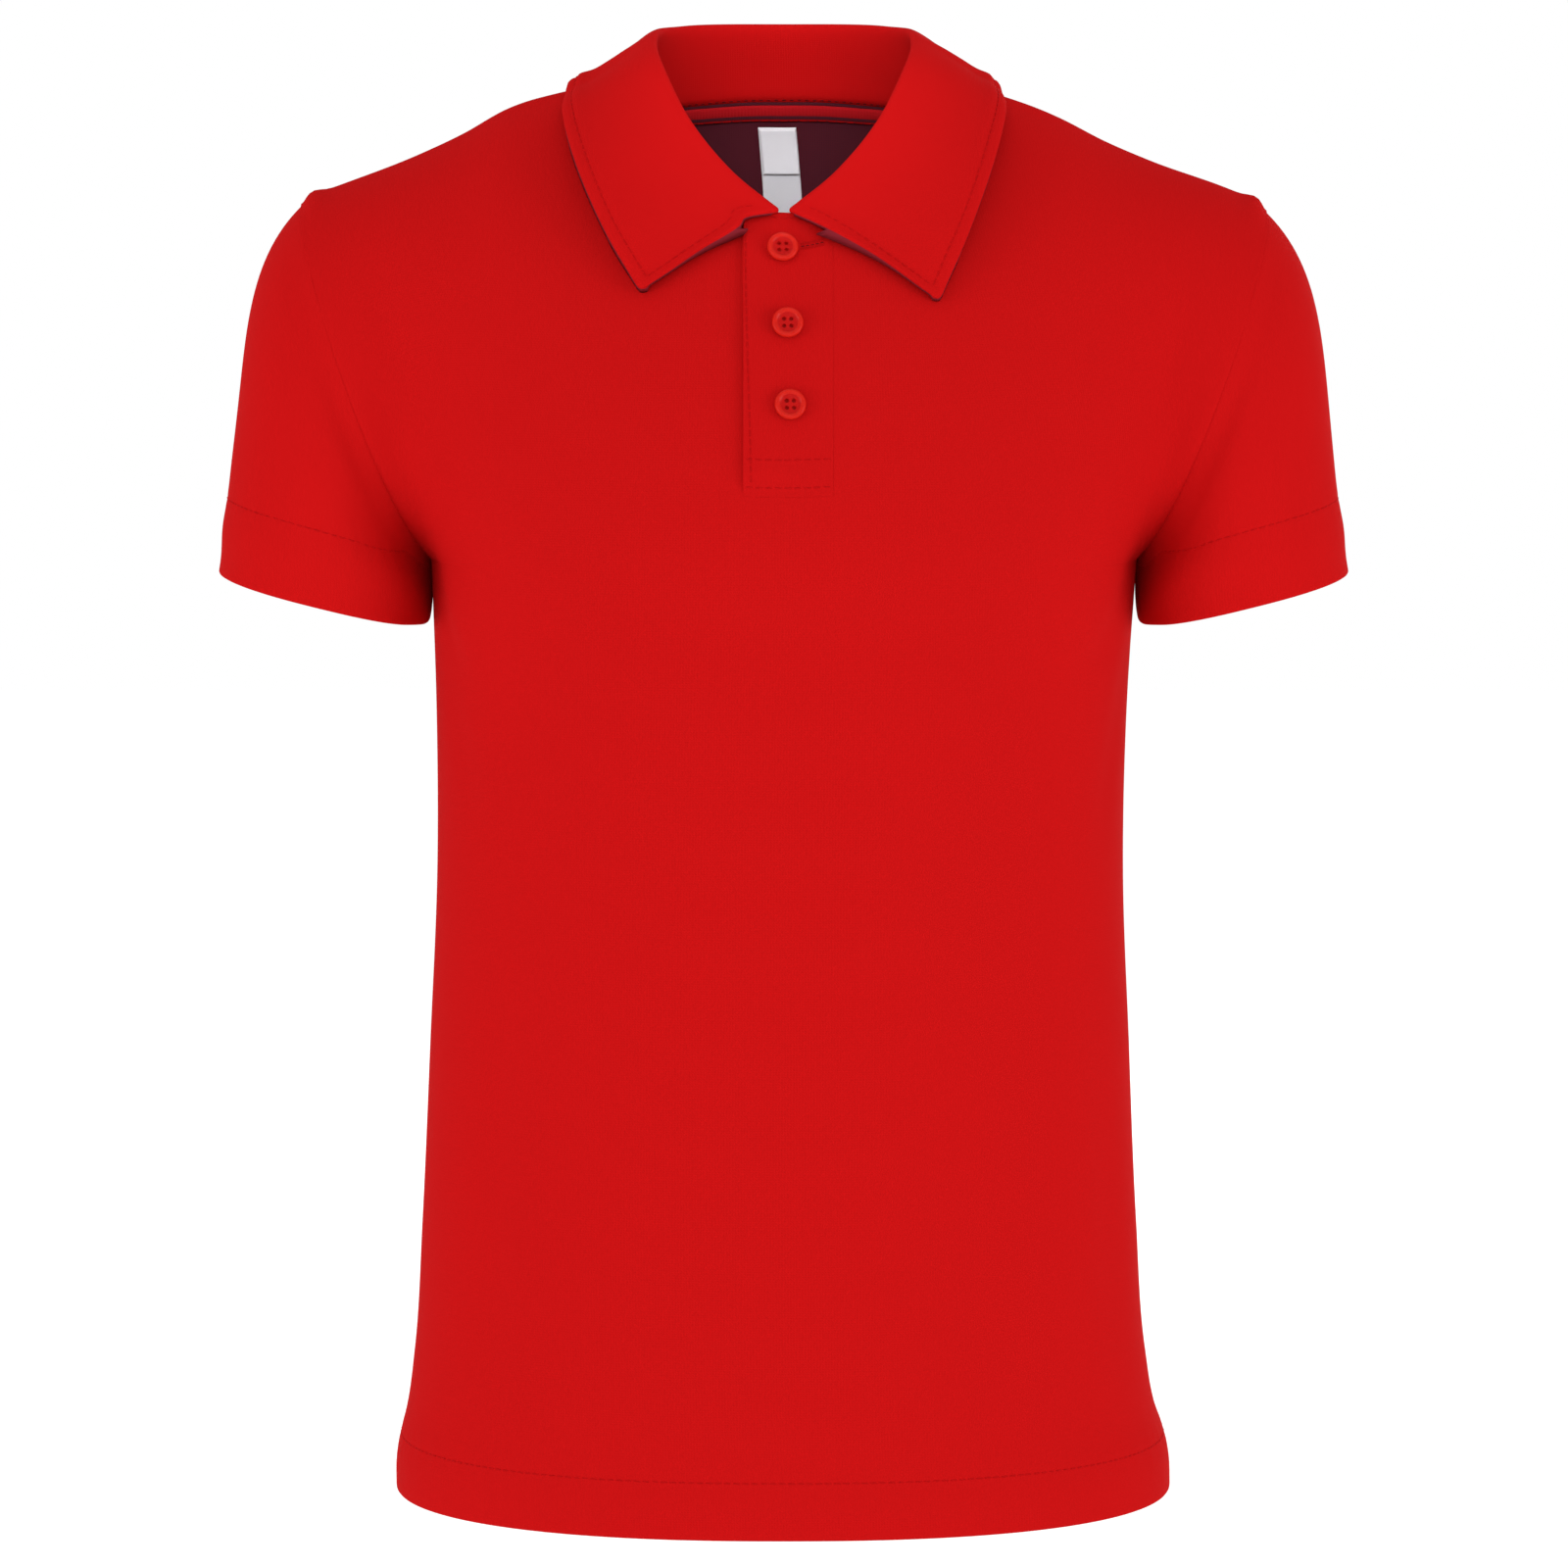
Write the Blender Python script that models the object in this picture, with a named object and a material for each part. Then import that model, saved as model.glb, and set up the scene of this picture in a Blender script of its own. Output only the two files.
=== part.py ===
"""A child's short-sleeved polo shirt, hollow and filled out as if worn, in the pieces that a maker cuts and sews.

Metres. -Y is the front, +X the wearer's left, +Z up. The origin is in the middle of the neck opening, just above
the points where the shoulder seams meet the collar. Each cloth piece is one closed wall, 1 to 2.5 mm thick.
Panels are grids of points worked out from the tables below, and what lies on a panel is made from the panel's
own points, moved out or in. Neighbouring pieces keep the gap SEAM between them.
"""

import math

import bpy
import numpy as np
from mathutils import Quaternion, Vector
from mathutils.bvhtree import BVHTree

# Cloth
PANEL_WALL = 0.0015
HEM_WALL = 0.0024
COLLAR_WALL = 0.0022
TAPE_WALL = 0.0010
LABEL_WALL = 0.0010
SEAM = 0.0003
SLEEVE_SEAM = 0.0005  # wider, because the sleeve turns sharply out of the armhole
BODY_HEM = 0.0195
SLEEVE_HEM = 0.0245
MOST_HEM = 0.8  # the hem's largest share of the sleeve's length, where the sleeve is short under the arm
HEM_STEP = 0.0006  # half the length over which the wall thickens at a hem's turned-up edge

# Heights of the body
HEM_Z = -0.482
CHEST_Z = -0.165
SECTION_POWER = 0.87  # 1 gives an ellipse, and less a squarer section

# The body below the armholes: height, half width, front depth, back depth, shift of the middle to the side
BODY_SECTIONS = (
    (-0.4820, 0.1324, 0.1040, 0.0990, -0.0003),
    (-0.4740, 0.1319, 0.1036, 0.0987, -0.0004),
    (-0.4625, 0.1303, 0.1026, 0.0980, -0.0006),
    (-0.4550, 0.1281, 0.1018, 0.0972, -0.0010),
    (-0.4350, 0.1249, 0.1007, 0.0960, -0.0014),
    (-0.3900, 0.1218, 0.0990, 0.0930, -0.0016),
    (-0.3300, 0.1190, 0.0975, 0.0890, -0.0015),
    (-0.2700, 0.1165, 0.0960, 0.0860, -0.0013),
    (-0.2150, 0.1170, 0.0965, 0.0890, -0.0008),
    (-0.1650, 0.1193, 0.0970, 0.0920, 0.0000),
)

# The shoulder seam: distance from the middle, height on the wearer's right and on the left
SHOULDER_LINE = (
    (0.056, -0.0040, -0.0040),
    (0.076, -0.0084, -0.0102),
    (0.094, -0.0140, -0.0172),
    (0.108, -0.0218, -0.0243),
    (0.123, -0.0288, -0.0307),
    (0.152, -0.0399, -0.0412),
    (0.163, -0.0440, -0.0462),
)
SHOULDER_Y = -0.005
NECK_HALF_WIDTH = SHOULDER_LINE[0][0]
SHOULDER_HALF_WIDTH = SHOULDER_LINE[-1][0]
FRONT_NECK_Y, BACK_NECK_Y = -0.054, 0.048
# Where the panels would end over the middle if no neckline were cut: distance from the middle, then the height
# of the front and of the back
UNCUT_TOP = (
    (0.000, -0.0060, 0.0120),
    (0.040, -0.0020, 0.0040),
    (0.056, -0.0040, -0.0040),
)

# How a panel rises from the chest to its top edge. Share of the way from the middle to the side, then how far
# the cloth leaves the chest (out, deep, up) and how it meets the top edge (out, deep, up)
FRONT_RISE = (
    (0.000, 0.0000, 0.0000, 0.0600, 0.0000, 0.0440, -0.0160),
    (0.275, 0.0000, 0.0000, 0.0560, 0.0000, 0.0400, -0.0140),
    (0.650, 0.0040, 0.0080, 0.0480, 0.0010, 0.0530, -0.0190),
    (0.850, 0.0090, 0.0300, 0.0280, -0.0010, 0.0580, -0.0160),
    (1.000, 0.0107, 0.0680, 0.0110, -0.0010, 0.0600, -0.0170),
)
BACK_RISE = (
    (0.000, 0.0000, 0.0000, 0.1000, 0.0000, 0.0560, 0.0110),
    (0.140, 0.0000, 0.0000, 0.0860, 0.0000, 0.0540, 0.0035),
    (0.275, 0.0000, 0.0000, 0.0560, 0.0000, 0.0480, -0.0150),
    (0.650, 0.0040, 0.0080, 0.0480, 0.0010, 0.0580, -0.0140),
    (0.850, 0.0090, 0.0300, 0.0280, -0.0010, 0.0610, -0.0150),
    (1.000, 0.0107, 0.0670, 0.0110, -0.0010, 0.0620, -0.0170),
)

# The sleeve. Turn from the shoulder point (0) to the underarm (1), then how it leaves the armhole (out, deep,
# up), the length over which it straightens into the cuff, and how far its edge lies below the panel's
SLEEVE_LEAVE = (
    (0.00, 0.0290, 0.0000, -0.0270, 0.0500, 0.0020),
    (0.25, 0.0240, 0.0050, -0.0290, 0.0440, 0.0000),
    (0.50, 0.0150, 0.0040, -0.0270, 0.0300, 0.0000),
    (0.75, 0.0070, 0.0030, -0.0160, 0.0160, 0.0000),
    (1.00, 0.0006, 0.0000, -0.0070, 0.0070, 0.0000),
)
CUFF_CENTRE = (0.1558, 0.0010, -0.1782)
CUFF_HALF_WIDTH, CUFF_HALF_DEPTH = 0.0362, 0.0495
CUFF_LEAN = math.radians(14)  # the arm's lean away from the body
CUFF_FRONT_DROP = 0.020  # how much lower each metre of depth puts the front of the cuff
FULL_VALLEY = 0.4  # how far the sleeve leaves towards the panel's face where the seam is a full valley

# The placket: its opening in the front panel and its two strips
OPENING_LEFT, OPENING_RIGHT = -0.0118, 0.0156
OPENING_BOTTOM_Z = -0.1400
STRIP_OVERLAP = 0.0014  # how far each strip's free edge reaches past the opening
STRIP_LIFT = 0.0019  # from one strip's face to the other's
STRIP_WALL = 0.0015
STRIP_END_GAP = 0.0008  # from the opening's foot
STRIP_TOP_GAP, UNDER_TOP_GAP = 0.0017, 0.0026  # from the neckline, for the upper and the under strip
CORNER_WIDTH, CORNER_HEIGHT = 0.0090, 0.0085  # of the upper strip's rounded free corner

# Buttons: side, height, tilt forward at the top, in degrees
BUTTONS = (
    (-0.0006, -0.0610, 3.0),
    (0.0010, -0.0843, 9.0),
    (0.0019, -0.1112, 2.0),
)
BUTTON_RADIUS = 0.0057
BUTTON_CLEARANCE = 0.0002  # for the cloth's curve under the button
# A button's section: distance from its axis, height
BUTTON_PROFILE = (
    (0.0046, 0.0000),
    (0.0057, 0.0006),
    (0.0057, 0.0014),
    (0.0052, 0.0021),
    (0.0045, 0.0021),
    (0.0039, 0.0016),
)
BUTTON_STEPS = 28
HOLE_RADIUS, HOLE_FROM_AXIS, HOLE_STEPS = 0.00075, 0.00170, 10
HOLE_CUTTER_ENDS = (-0.002, 0.004)  # below and above the button's back

# The collar. Turn round the neck in degrees, from the middle of the back (-90) over the shoulder (0) to the
# front end: the fold (out, deep, up), the outer edge (out, deep, up), the fold's roll, the edge's lift off the
# body, and the leaf's bulge
COLLAR = (
    (-90.0, 0.0000, 0.0460, 0.0150, 0.0000, 0.0660, -0.0160, 0.0048, 0.0010, 0.0030),
    (-45.0, 0.0345, 0.0310, 0.0140, 0.0510, 0.0450, -0.0160, 0.0048, 0.0008, 0.0015),
    (0.0, 0.0445, -0.0030, 0.0090, 0.0720, -0.0060, -0.0095, 0.0040, 0.0013, 0.0004),
    (25.0, 0.0415, -0.0240, -0.0010, 0.0735, -0.0320, -0.0170, 0.0042, 0.0010, 0.0020),
    (45.0, 0.0325, -0.0400, -0.0185, 0.0682, -0.0520, -0.0336, 0.0038, 0.0012, 0.0030),
    (65.0, 0.0190, -0.0510, -0.0350, 0.0590, -0.0640, -0.0540, 0.0032, 0.0014, 0.0040),
    (86.5, 0.0028, -0.0578, -0.0464, 0.0470, -0.0700, -0.0745, 0.0018, 0.0016, 0.0036),
)
LEFT_TIP_SHIFT = (0.0038, 0.0000, -0.0032)  # the wearer's left tip lies further out and down
TIP_FROM = 25.0  # the turn from which the left leaf's edge moves towards that tip
LEFT_STANDS_UP = 0.0018  # how much fuller the left leaf is over the shoulder, and the right one flatter
COLLAR_STAND_ROWS, COLLAR_FALL_ROWS = 5, 9
LEAF_CLEARANCE = 0.0005  # between the leaf and the body, over the gap SEAM
FOLD_RISE = 0.012  # how much the cloth still rises where it turns over at the fold
FOLD_STEEPEST = -0.25  # the steepest fall of the cloth right at the fold
STAND_BEND, FALL_LEAVE, FALL_BEND = 0.55, 1.3, 0.38  # where the collar's curves have their inner control points
FALL_SPACING = 1.15  # over 1, the leaf's rows lie closer near the fold

# The neck seam: how steeply the collar stands up from it, at the shoulder and added in front and behind
STAND_STEEP, FRONT_STEEP, BACK_STEEP = 0.25, 1.05, 0.60

# The neck tape and the labels, on the inside of the back
TAPE_WIDTH = 0.0065
TAPE_TOP_GAP = 0.0022
TAPE_END_GAP = 0.010  # from the shoulder seams, as a share of the way across
INSIDE_GAP = 0.0009  # from the panel, whose flat facets lie a little inside its curve
LABEL_HALF_WIDTH, LABEL_MIDDLE = 0.0068, -0.0013
SIZE_LABEL_LENGTH, MAIN_LABEL_LENGTH = 0.0160, 0.0380

# Grid steps
NECK_COLUMNS = 8  # from the placket to the end of the neckline
SHOULDER_COLUMNS = 9
UPPER_ROWS = 14
LOWER_ROWS = 10
SLEEVE_ROWS = 8
STRIP_ROWS = 18
FINE_STEPS = 400  # on curves that are only measured along
SHARP_FROM = math.radians(40)  # edges that turn more than this are shown sharp
GROUND_COLUMNS, GROUND_ROWS, GROUND_FROM = 81, 33, 0.2  # on the surface under the collar, from where up the panel

CLOTH_RED = (0.58, 0.007, 0.009)
BUTTON_RED = (0.62, 0.020, 0.012)
LABEL_GREY = (0.55, 0.54, 0.62)


def clear_scene():
    for item in list(bpy.data.objects):
        bpy.data.objects.remove(item)


def plain_material(name, colour, roughness):
    material = bpy.data.materials.new(name)
    material.use_nodes = True
    shader = material.node_tree.nodes["Principled BSDF"]
    shader.inputs["Base Color"].default_value = (*colour, 1)
    shader.inputs["Roughness"].default_value = roughness
    shader.inputs["Metallic"].default_value = 0
    material.diffuse_color = (*colour, 1)
    return material


def through(table, at):
    """The columns of a table, read at the keys `at`, along smooth curves that pass through every row."""
    rows = np.array(sorted(table), float)
    keys, values = rows[:, 0], rows[:, 1:]
    slopes = np.gradient(values, keys, axis=0)
    at = np.clip(np.asarray(at, float), keys[0], keys[-1])
    low = np.clip(np.searchsorted(keys, at) - 1, 0, len(keys) - 2)
    span = (keys[low + 1] - keys[low])[..., None]
    t = (at - keys[low])[..., None] / span
    return (
        (2 * t**3 - 3 * t**2 + 1) * values[low]
        + (t**3 - 2 * t**2 + t) * span * slopes[low]
        + (3 * t**2 - 2 * t**3) * values[low + 1]
        + (t**3 - t**2) * span * slopes[low + 1]
    )


def mirrored(table, odd=()):
    """The table with its second row reflected before its first, so that curves cross the middle smoothly. The
    values in the places odd change sign."""
    first, second = table[0], table[1]
    reflected = [-value if place in odd else value for place, value in enumerate(second[1:])]
    return ((2 * first[0] - second[0], *reflected), *table)


def curved(start, leave, arrive, end, t):
    """Cubic curves from start to end, where leave and arrive are their inner control points."""
    t = t[..., None]
    return (1 - t) ** 3 * start + 3 * t * (1 - t) ** 2 * leave + 3 * t**2 * (1 - t) * arrive + t**3 * end


def unit(vectors):
    return vectors / np.linalg.norm(vectors, axis=-1, keepdims=True)


# ---- The body's surface ----


def section(side, across, height):
    """Points of the body's section at a height. side is -1 on the front panel and 1 on the back one."""
    half_width, front, back, shift = np.moveaxis(through(BODY_SECTIONS, height), -1, 0)
    angle = np.abs(across) * math.pi / 2
    depth = front if side < 0 else back
    x = shift + np.sign(across) * half_width * np.sin(angle) ** SECTION_POWER
    y = side * (SEAM / 2 + (depth - SEAM / 2) * np.maximum(np.cos(angle), 0) ** SECTION_POWER)
    return np.stack([x, y, height + 0 * x], -1)


def across_at(x):
    """The share of the way from the middle to the side seam at which the chest is x wide."""
    half_width = BODY_SECTIONS[-1][1]
    return np.sign(x) * np.arcsin((np.abs(x) / half_width) ** (1 / SECTION_POWER)) / (math.pi / 2)


NECK_ACROSS = across_at(NECK_HALF_WIDTH)


def rise_of(side, across):
    """Start, inner control points and end of each column's curve above the chest. It ends at the shoulder seam
    or, in the middle, where the cloth would meet it if no neckline were cut."""
    share = np.abs(across)
    on_shoulder = np.clip((share - NECK_ACROSS) / (1 - NECK_ACROSS), 0, 1)
    x_shoulder = NECK_HALF_WIDTH + on_shoulder * (SHOULDER_HALF_WIDTH - NECK_HALF_WIDTH)
    right, left = np.moveaxis(through(SHOULDER_LINE, x_shoulder), -1, 0)
    chest = section(side, across, np.full(across.shape, CHEST_Z))
    x_middle = np.abs(chest[..., 0])
    z_middle = through(mirrored(UNCUT_TOP), x_middle)[..., 0 if side < 0 else 1]
    middle = share < NECK_ACROSS
    x = np.sign(across) * np.where(middle, x_middle, x_shoulder)
    z = np.where(middle, z_middle, np.where(across < 0, right, left))
    top = np.stack([x, np.full(across.shape, SHOULDER_Y + side * SEAM / 2), z], -1)
    outward = np.stack([np.sign(across), np.full(across.shape, side), np.ones(across.shape)], -1)
    rise = through(mirrored(FRONT_RISE if side < 0 else BACK_RISE), share)
    return chest, chest + rise[..., :3] * outward, top + rise[..., 3:] * outward, top


def neckline_at(side, across):
    """The share of each column's curve that is left under the neckline, an ellipse as seen from above."""
    x = section(side, across, np.full(across.shape, CHEST_Z))[..., 0]
    dip = np.sqrt(np.maximum(1 - (x / NECK_HALF_WIDTH) ** 2, 0))
    neck_y = SHOULDER_Y + dip * ((FRONT_NECK_Y if side < 0 else BACK_NECK_Y) - SHOULDER_Y)
    ways = rise_of(side, across)
    low, high = np.full(across.shape, 0.3), np.ones(across.shape)
    for _ in range(24):
        half = (low + high) / 2
        past = (curved(*ways, half)[..., 1] - neck_y) * side < 0
        low, high = np.where(past, low, half), np.where(past, half, high)
    return np.where(np.abs(across) < NECK_ACROSS - 1e-9, high, 1.0)


def panel(side, across, up):
    """Points of a body panel's outer face. across runs from -1 to 1 between the side seams and armholes,
    and up from -1 at the hem through 0 at the chest to 1 at the shoulder seams and the neckline."""
    across, up = np.broadcast_arrays(np.asarray(across, float), np.asarray(up, float))
    low = section(side, across, CHEST_Z + np.minimum(up, 0) * (CHEST_Z - HEM_Z))
    high = curved(*rise_of(side, across), np.maximum(up, 0) * neckline_at(side, across))
    return np.where(up[..., None] < 0, low, high)


def panel_face(side, across, up, step=1e-3):
    """The direction that a panel's outer face looks in."""
    across, up = np.broadcast_arrays(np.asarray(across, float), np.asarray(up, float))
    hand = np.where(across < 0, -1, 1)
    share = np.abs(across)
    on_neck = share < NECK_ACROSS - 1e-6
    outer = np.minimum(share + step, np.where(on_neck, NECK_ACROSS, 1))
    inner = np.where(on_neck, share - step, np.maximum(share - step, NECK_ACROSS))
    right = (panel(side, hand * outer, up) - panel(side, hand * inner, up)) * hand[..., None]
    rise = panel(side, across, np.minimum(up + step, 1)) - panel(side, across, np.maximum(up - step, -1))
    return unit(np.cross(right, rise)) * -side


def up_at(side, across, height):
    """Where up puts a column of the upper panel at a height."""
    ups = np.linspace(0, 1, FINE_STEPS)
    return np.interp(height, panel(side, across, ups)[:, 2], ups)


def up_below_neck(side, across, distance):
    """Where up puts points at a distance down from the neckline."""
    pace = np.linalg.norm(panel(side, across, 1.0) - panel(side, across, 0.95), axis=-1) / 0.05
    return 1 - distance / pace


def neck_edge(hand, turn):
    """Points of the neckline. turn goes round the neck in degrees, from -90 in the middle of the back, over 0 at
    the shoulder seam, to 90 in the middle of the front."""
    across = hand * across_at(NECK_HALF_WIDTH * np.cos(np.radians(turn)))
    edge = np.where((turn > 0)[..., None], panel(-1, across, 1.0), panel(1, across, 1.0))
    return np.where(turn[..., None] == 0, edge * (1, 0, 1) + (0, SHOULDER_Y, 0), edge)


def neck_cut(hand, turn, step=1.0):
    """The direction in which the walls on both sides of the neck seam are cut, and the way over the seam."""
    ahead = unit(neck_edge(hand, turn + step) - neck_edge(hand, turn - step))
    angle = np.radians(turn)
    steep = STAND_STEEP + np.abs(np.sin(angle)) * np.where(turn > 0, FRONT_STEEP, BACK_STEEP)
    onward = np.stack([-hand * np.cos(angle), np.sin(angle), steep], -1)
    cut = unit(np.cross(onward, ahead)) * np.reshape(hand, np.shape(turn) + (1,))
    cut = np.where(turn[..., None] == 0, unit(cut * (1, 0, 1)), cut)
    return cut, unit(onward - ahead * (onward * ahead).sum(-1, keepdims=True))


def body_columns():
    """The columns shared by both panels: the neckline's are evenly spread round the neck."""
    shoulder = np.linspace(NECK_ACROSS, 1, SHOULDER_COLUMNS + 1)
    right, left = (
        across_at(
            NECK_HALF_WIDTH
            * np.sin(np.linspace(math.asin(abs(edge) / NECK_HALF_WIDTH), math.pi / 2, NECK_COLUMNS + 1)[:-1])
        )
        for edge in (OPENING_RIGHT, OPENING_LEFT)
    )
    return np.concatenate([-shoulder[::-1], -left[::-1], [0.0], right, shoulder])


def upper_rows():
    """The rows above the chest. One of them is the foot of the placket's opening."""
    rows = np.linspace(0, 1, UPPER_ROWS + 1)
    foot = up_at(-1, 0.0, OPENING_BOTTOM_Z)
    rows[np.argmin(np.abs(rows - foot))] = foot
    return rows


def lower_rows():
    """The rows below the chest, with two close ones where the hem's turned-up edge ends."""
    hem_top = -1 + BODY_HEM / (CHEST_Z - HEM_Z)
    step = HEM_STEP / (CHEST_Z - HEM_Z)
    ends = [-1, hem_top - step, hem_top + step]
    return np.concatenate([ends, np.linspace(hem_top, 0, LOWER_ROWS + 1)[1:-1]])


# ---- Walls ----


def wall_object(name, outer, inner, material, keep=None, ring=False):
    """A closed wall between two grids of points. keep leaves out grid squares, and ring joins the last column
    to the first."""
    rows, columns = outer.shape[:2]
    j, i = np.mgrid[0 : rows - 1, 0 : columns if ring else columns - 1]
    following = (i + 1) % columns
    squares = np.stack(
        [j * columns + i, j * columns + following, (j + 1) * columns + following, (j + 1) * columns + i], -1
    )
    squares = squares[np.ones(j.shape, bool) if keep is None else keep]
    edges = {(int(a), int(b)) for square in squares for a, b in zip(square, np.roll(square, -1))}
    behind = rows * columns
    rim = [(b, a, a + behind, b + behind) for a, b in sorted(edges) if (b, a) not in edges]
    faces = np.concatenate([squares, squares[:, ::-1] + behind, np.array(rim)])
    used, faces = np.unique(faces, return_inverse=True)
    points = np.concatenate([outer.reshape(-1, 3), inner.reshape(-1, 3)])[used]
    mesh = bpy.data.meshes.new(name)
    mesh.from_pydata(points.tolist(), [], faces.reshape(-1, 4).tolist())
    mesh.materials.append(material)
    mesh.shade_smooth()
    mesh.set_sharp_from_angle(angle=SHARP_FROM)
    made = bpy.data.objects.new(name, mesh)
    bpy.context.scene.collection.objects.link(made)
    return made


def on_panel(name, side, across, up, lift, wall, material):
    """A piece that follows a panel's surface, with its outer face lifted off the panel's outer face."""
    grid_across, grid_up = np.meshgrid(across[::-side], up)
    if np.ndim(up) == 2:
        grid_across, grid_up = np.broadcast_arrays(across[::-side], up)
    points = panel(side, grid_across, grid_up)
    face = panel_face(side, grid_across, grid_up)
    lift = np.broadcast_to(lift, grid_up.shape)[..., None]
    return wall_object(name, points + face * lift, points + face * (lift - wall), material)


def neck_turns_of(across):
    """The turns round the neck, in degrees from the shoulder seam, of some of the panels' columns."""
    x = np.abs(section(-1, across, np.full(across.shape, CHEST_Z))[:, 0])
    turns = np.degrees(np.arccos(np.minimum(x / NECK_HALF_WIDTH, 1)))
    turns[turns < 1e-3] = 0
    return turns, np.where(across < 0, -1.0, 1.0)


def body_panel(side, name, material):
    """The front or the back, from hem to neckline, with its hem turned up inside."""
    columns, upper = body_columns(), upper_rows()
    ups = np.concatenate([lower_rows(), upper])
    across, up = np.meshgrid(columns[::-side], ups)
    outer = panel(side, across, up)
    cut = panel_face(side, across, up)
    for end in (0, -1):
        cut[:, end] = side_cut(side, across[0, end], ups)
    on_neck = np.abs(across[-1]) < NECK_ACROSS + 1e-9
    cut[-1, ~on_neck] = unit(cut[-1, ~on_neck] * (1, 0, 1))
    turns, hands = neck_turns_of(across[-1, on_neck])
    cut[-1, on_neck] = neck_cut(hands, -side * turns)[0]
    hem_top = -1 + BODY_HEM / (CHEST_Z - HEM_Z)
    wall = np.where(up < hem_top, HEM_WALL, PANEL_WALL)[..., None]
    keep = np.ones((len(ups) - 1, len(columns) - 1), bool)
    if side < 0:
        foot = np.argmin(np.abs(ups - up_at(-1, 0.0, OPENING_BOTTOM_Z)))
        left, right = (np.argmin(np.abs(columns - across_at(x))) for x in (OPENING_LEFT, OPENING_RIGHT))
        keep[foot:, left:right] = False
    return wall_object(name, outer, outer - cut * wall, material, keep)


# ---- The sleeves. hand is 1 on the wearer's left and -1 on the right, and points are worked out as on the left


def sleeve_turns():
    """The turns of the armhole at which the panels' rows meet it: from 0 at the shoulder point, over the front
    to 1 at the underarm, and back behind the arm towards 2."""
    upper = upper_rows()
    return np.concatenate([1 - upper[::-1], 1 + upper[1:-1]])


def armhole(hand, turn):
    """The sleeve's first points, the way it leaves, and the directions in which the panels' walls and the
    sleeve's wall are cut at the armhole seam."""
    mirror = np.array([hand, 1, 1])
    up = np.where(turn <= 1, 1 - turn, turn - 1)
    back = np.where(turn % 1 == 0, 0.5, (turn > 1) * 1.0)[:, None]
    at = np.full(turn.shape, hand)
    edge = (panel(-1, at, up) * (1 - back) + panel(1, at, up) * back) * mirror
    face = unit(panel_face(-1, at, up) * (1 - back) + panel_face(1, at, up) * back) * mirror
    half = np.where(turn <= 1, turn, 2 - turn)
    towards = np.where(turn <= 1, -1.0, 1.0)
    out, deep, rise, _, under = np.moveaxis(through(SLEEVE_LEAVE, half), -1, 0)
    leave = np.stack([out, deep * towards, rise], -1)
    round_it = unit(np.roll(edge, -1, axis=0) - np.roll(edge, 1, axis=0))
    sleeve_face = unit(np.cross(round_it, leave))
    away = unit(leave - round_it * (leave * round_it).sum(-1, keepdims=True))
    # Over the shoulder the two walls share a mitre, and in the valley under the arm each is cut square
    valley = np.clip((face * away).sum(-1) / FULL_VALLEY, 0, 1)[:, None]
    mitre = unit(face + sleeve_face + 1e-9)
    panel_cut = unit(mitre * (1 - valley) + face * valley)
    sleeve_cut = unit(mitre * (1 - valley) + sleeve_face * valley)
    start = edge + SLEEVE_SEAM * unit(away * (1 - valley) + face * valley) - panel_cut * under[:, None]
    return start, leave, panel_cut, sleeve_cut


def side_cut(side, hand, ups):
    """The directions in which a panel's wall is cut at its side seam and armhole."""
    turns = sleeve_turns()
    cut = armhole(hand, turns)[2]
    seen = turns <= 1 if side < 0 else (turns >= 1) | (turns == 0)
    cut = cut[seen][np.argsort(np.abs(1 - turns[seen]))]
    cut[[0, -1]] = unit(cut[[0, -1]] * (1, 0, 1))
    below = np.tile([1.0, 0.0, 0.0], (np.sum(ups < 0), 1))
    return np.concatenate([below, cut]) * (hand, 1, 1)


def sleeve(hand, name, material):
    """A sleeve from the armhole to the cuff, with its hem turned up inside."""
    turn = sleeve_turns()
    start, leave, _, cut = armhole(hand, turn)
    half = np.where(turn <= 1, turn, 2 - turn)
    angle = half * math.pi
    towards = np.where(turn <= 1, -1.0, 1.0)
    widthways = np.array([math.cos(CUFF_LEAN), 0, math.sin(CUFF_LEAN)])
    deepways = np.array([0, 1, CUFF_FRONT_DROP])
    along_arm = unit(np.cross(widthways, deepways)) * -1
    end = (
        np.array(CUFF_CENTRE)
        + CUFF_HALF_WIDTH * np.cos(angle)[:, None] * widthways
        + CUFF_HALF_DEPTH * (towards * np.sin(angle))[:, None] * deepways
    )
    straighten = through(SLEEVE_LEAVE, half)[:, 3:4]
    fine = np.linspace(0, 1, FINE_STEPS)
    ways = [way[None] for way in (start, start + leave, end - straighten * along_arm, end)]
    line = curved(*ways, fine[:, None] + 0 * turn)
    length = np.cumsum(np.linalg.norm(np.diff(line, axis=0, prepend=line[:1]), axis=-1), axis=0)
    hem = length[-1] - np.minimum(SLEEVE_HEM, length[-1] * MOST_HEM)
    above = np.linspace(0, 1, SLEEVE_ROWS + 1)[:, None] * (hem - HEM_STEP)
    below = hem + HEM_STEP + np.linspace(0, 1, 3)[:, None] * (length[-1] - hem - HEM_STEP)
    steps = np.concatenate([above, below])
    at = np.stack([np.interp(steps[:, k], length[:, k], fine) for k in range(len(turn))], 1)
    outer = curved(*ways, at)
    round_it = np.roll(outer, -1, axis=1) - np.roll(outer, 1, axis=1)
    face = unit(np.cross(round_it, np.gradient(outer, axis=0)))
    face[0] = cut
    wall = np.where(np.arange(len(steps)) > SLEEVE_ROWS, HEM_WALL, PANEL_WALL)[:, None, None]
    inner = outer - face * wall
    grids = [grid * (hand, 1, 1) for grid in (outer, inner)]
    if hand < 0:
        grids = [grid[:, ::-1] for grid in grids]
    return wall_object(name, *grids, material, ring=True)


# ---- The collar ----


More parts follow.
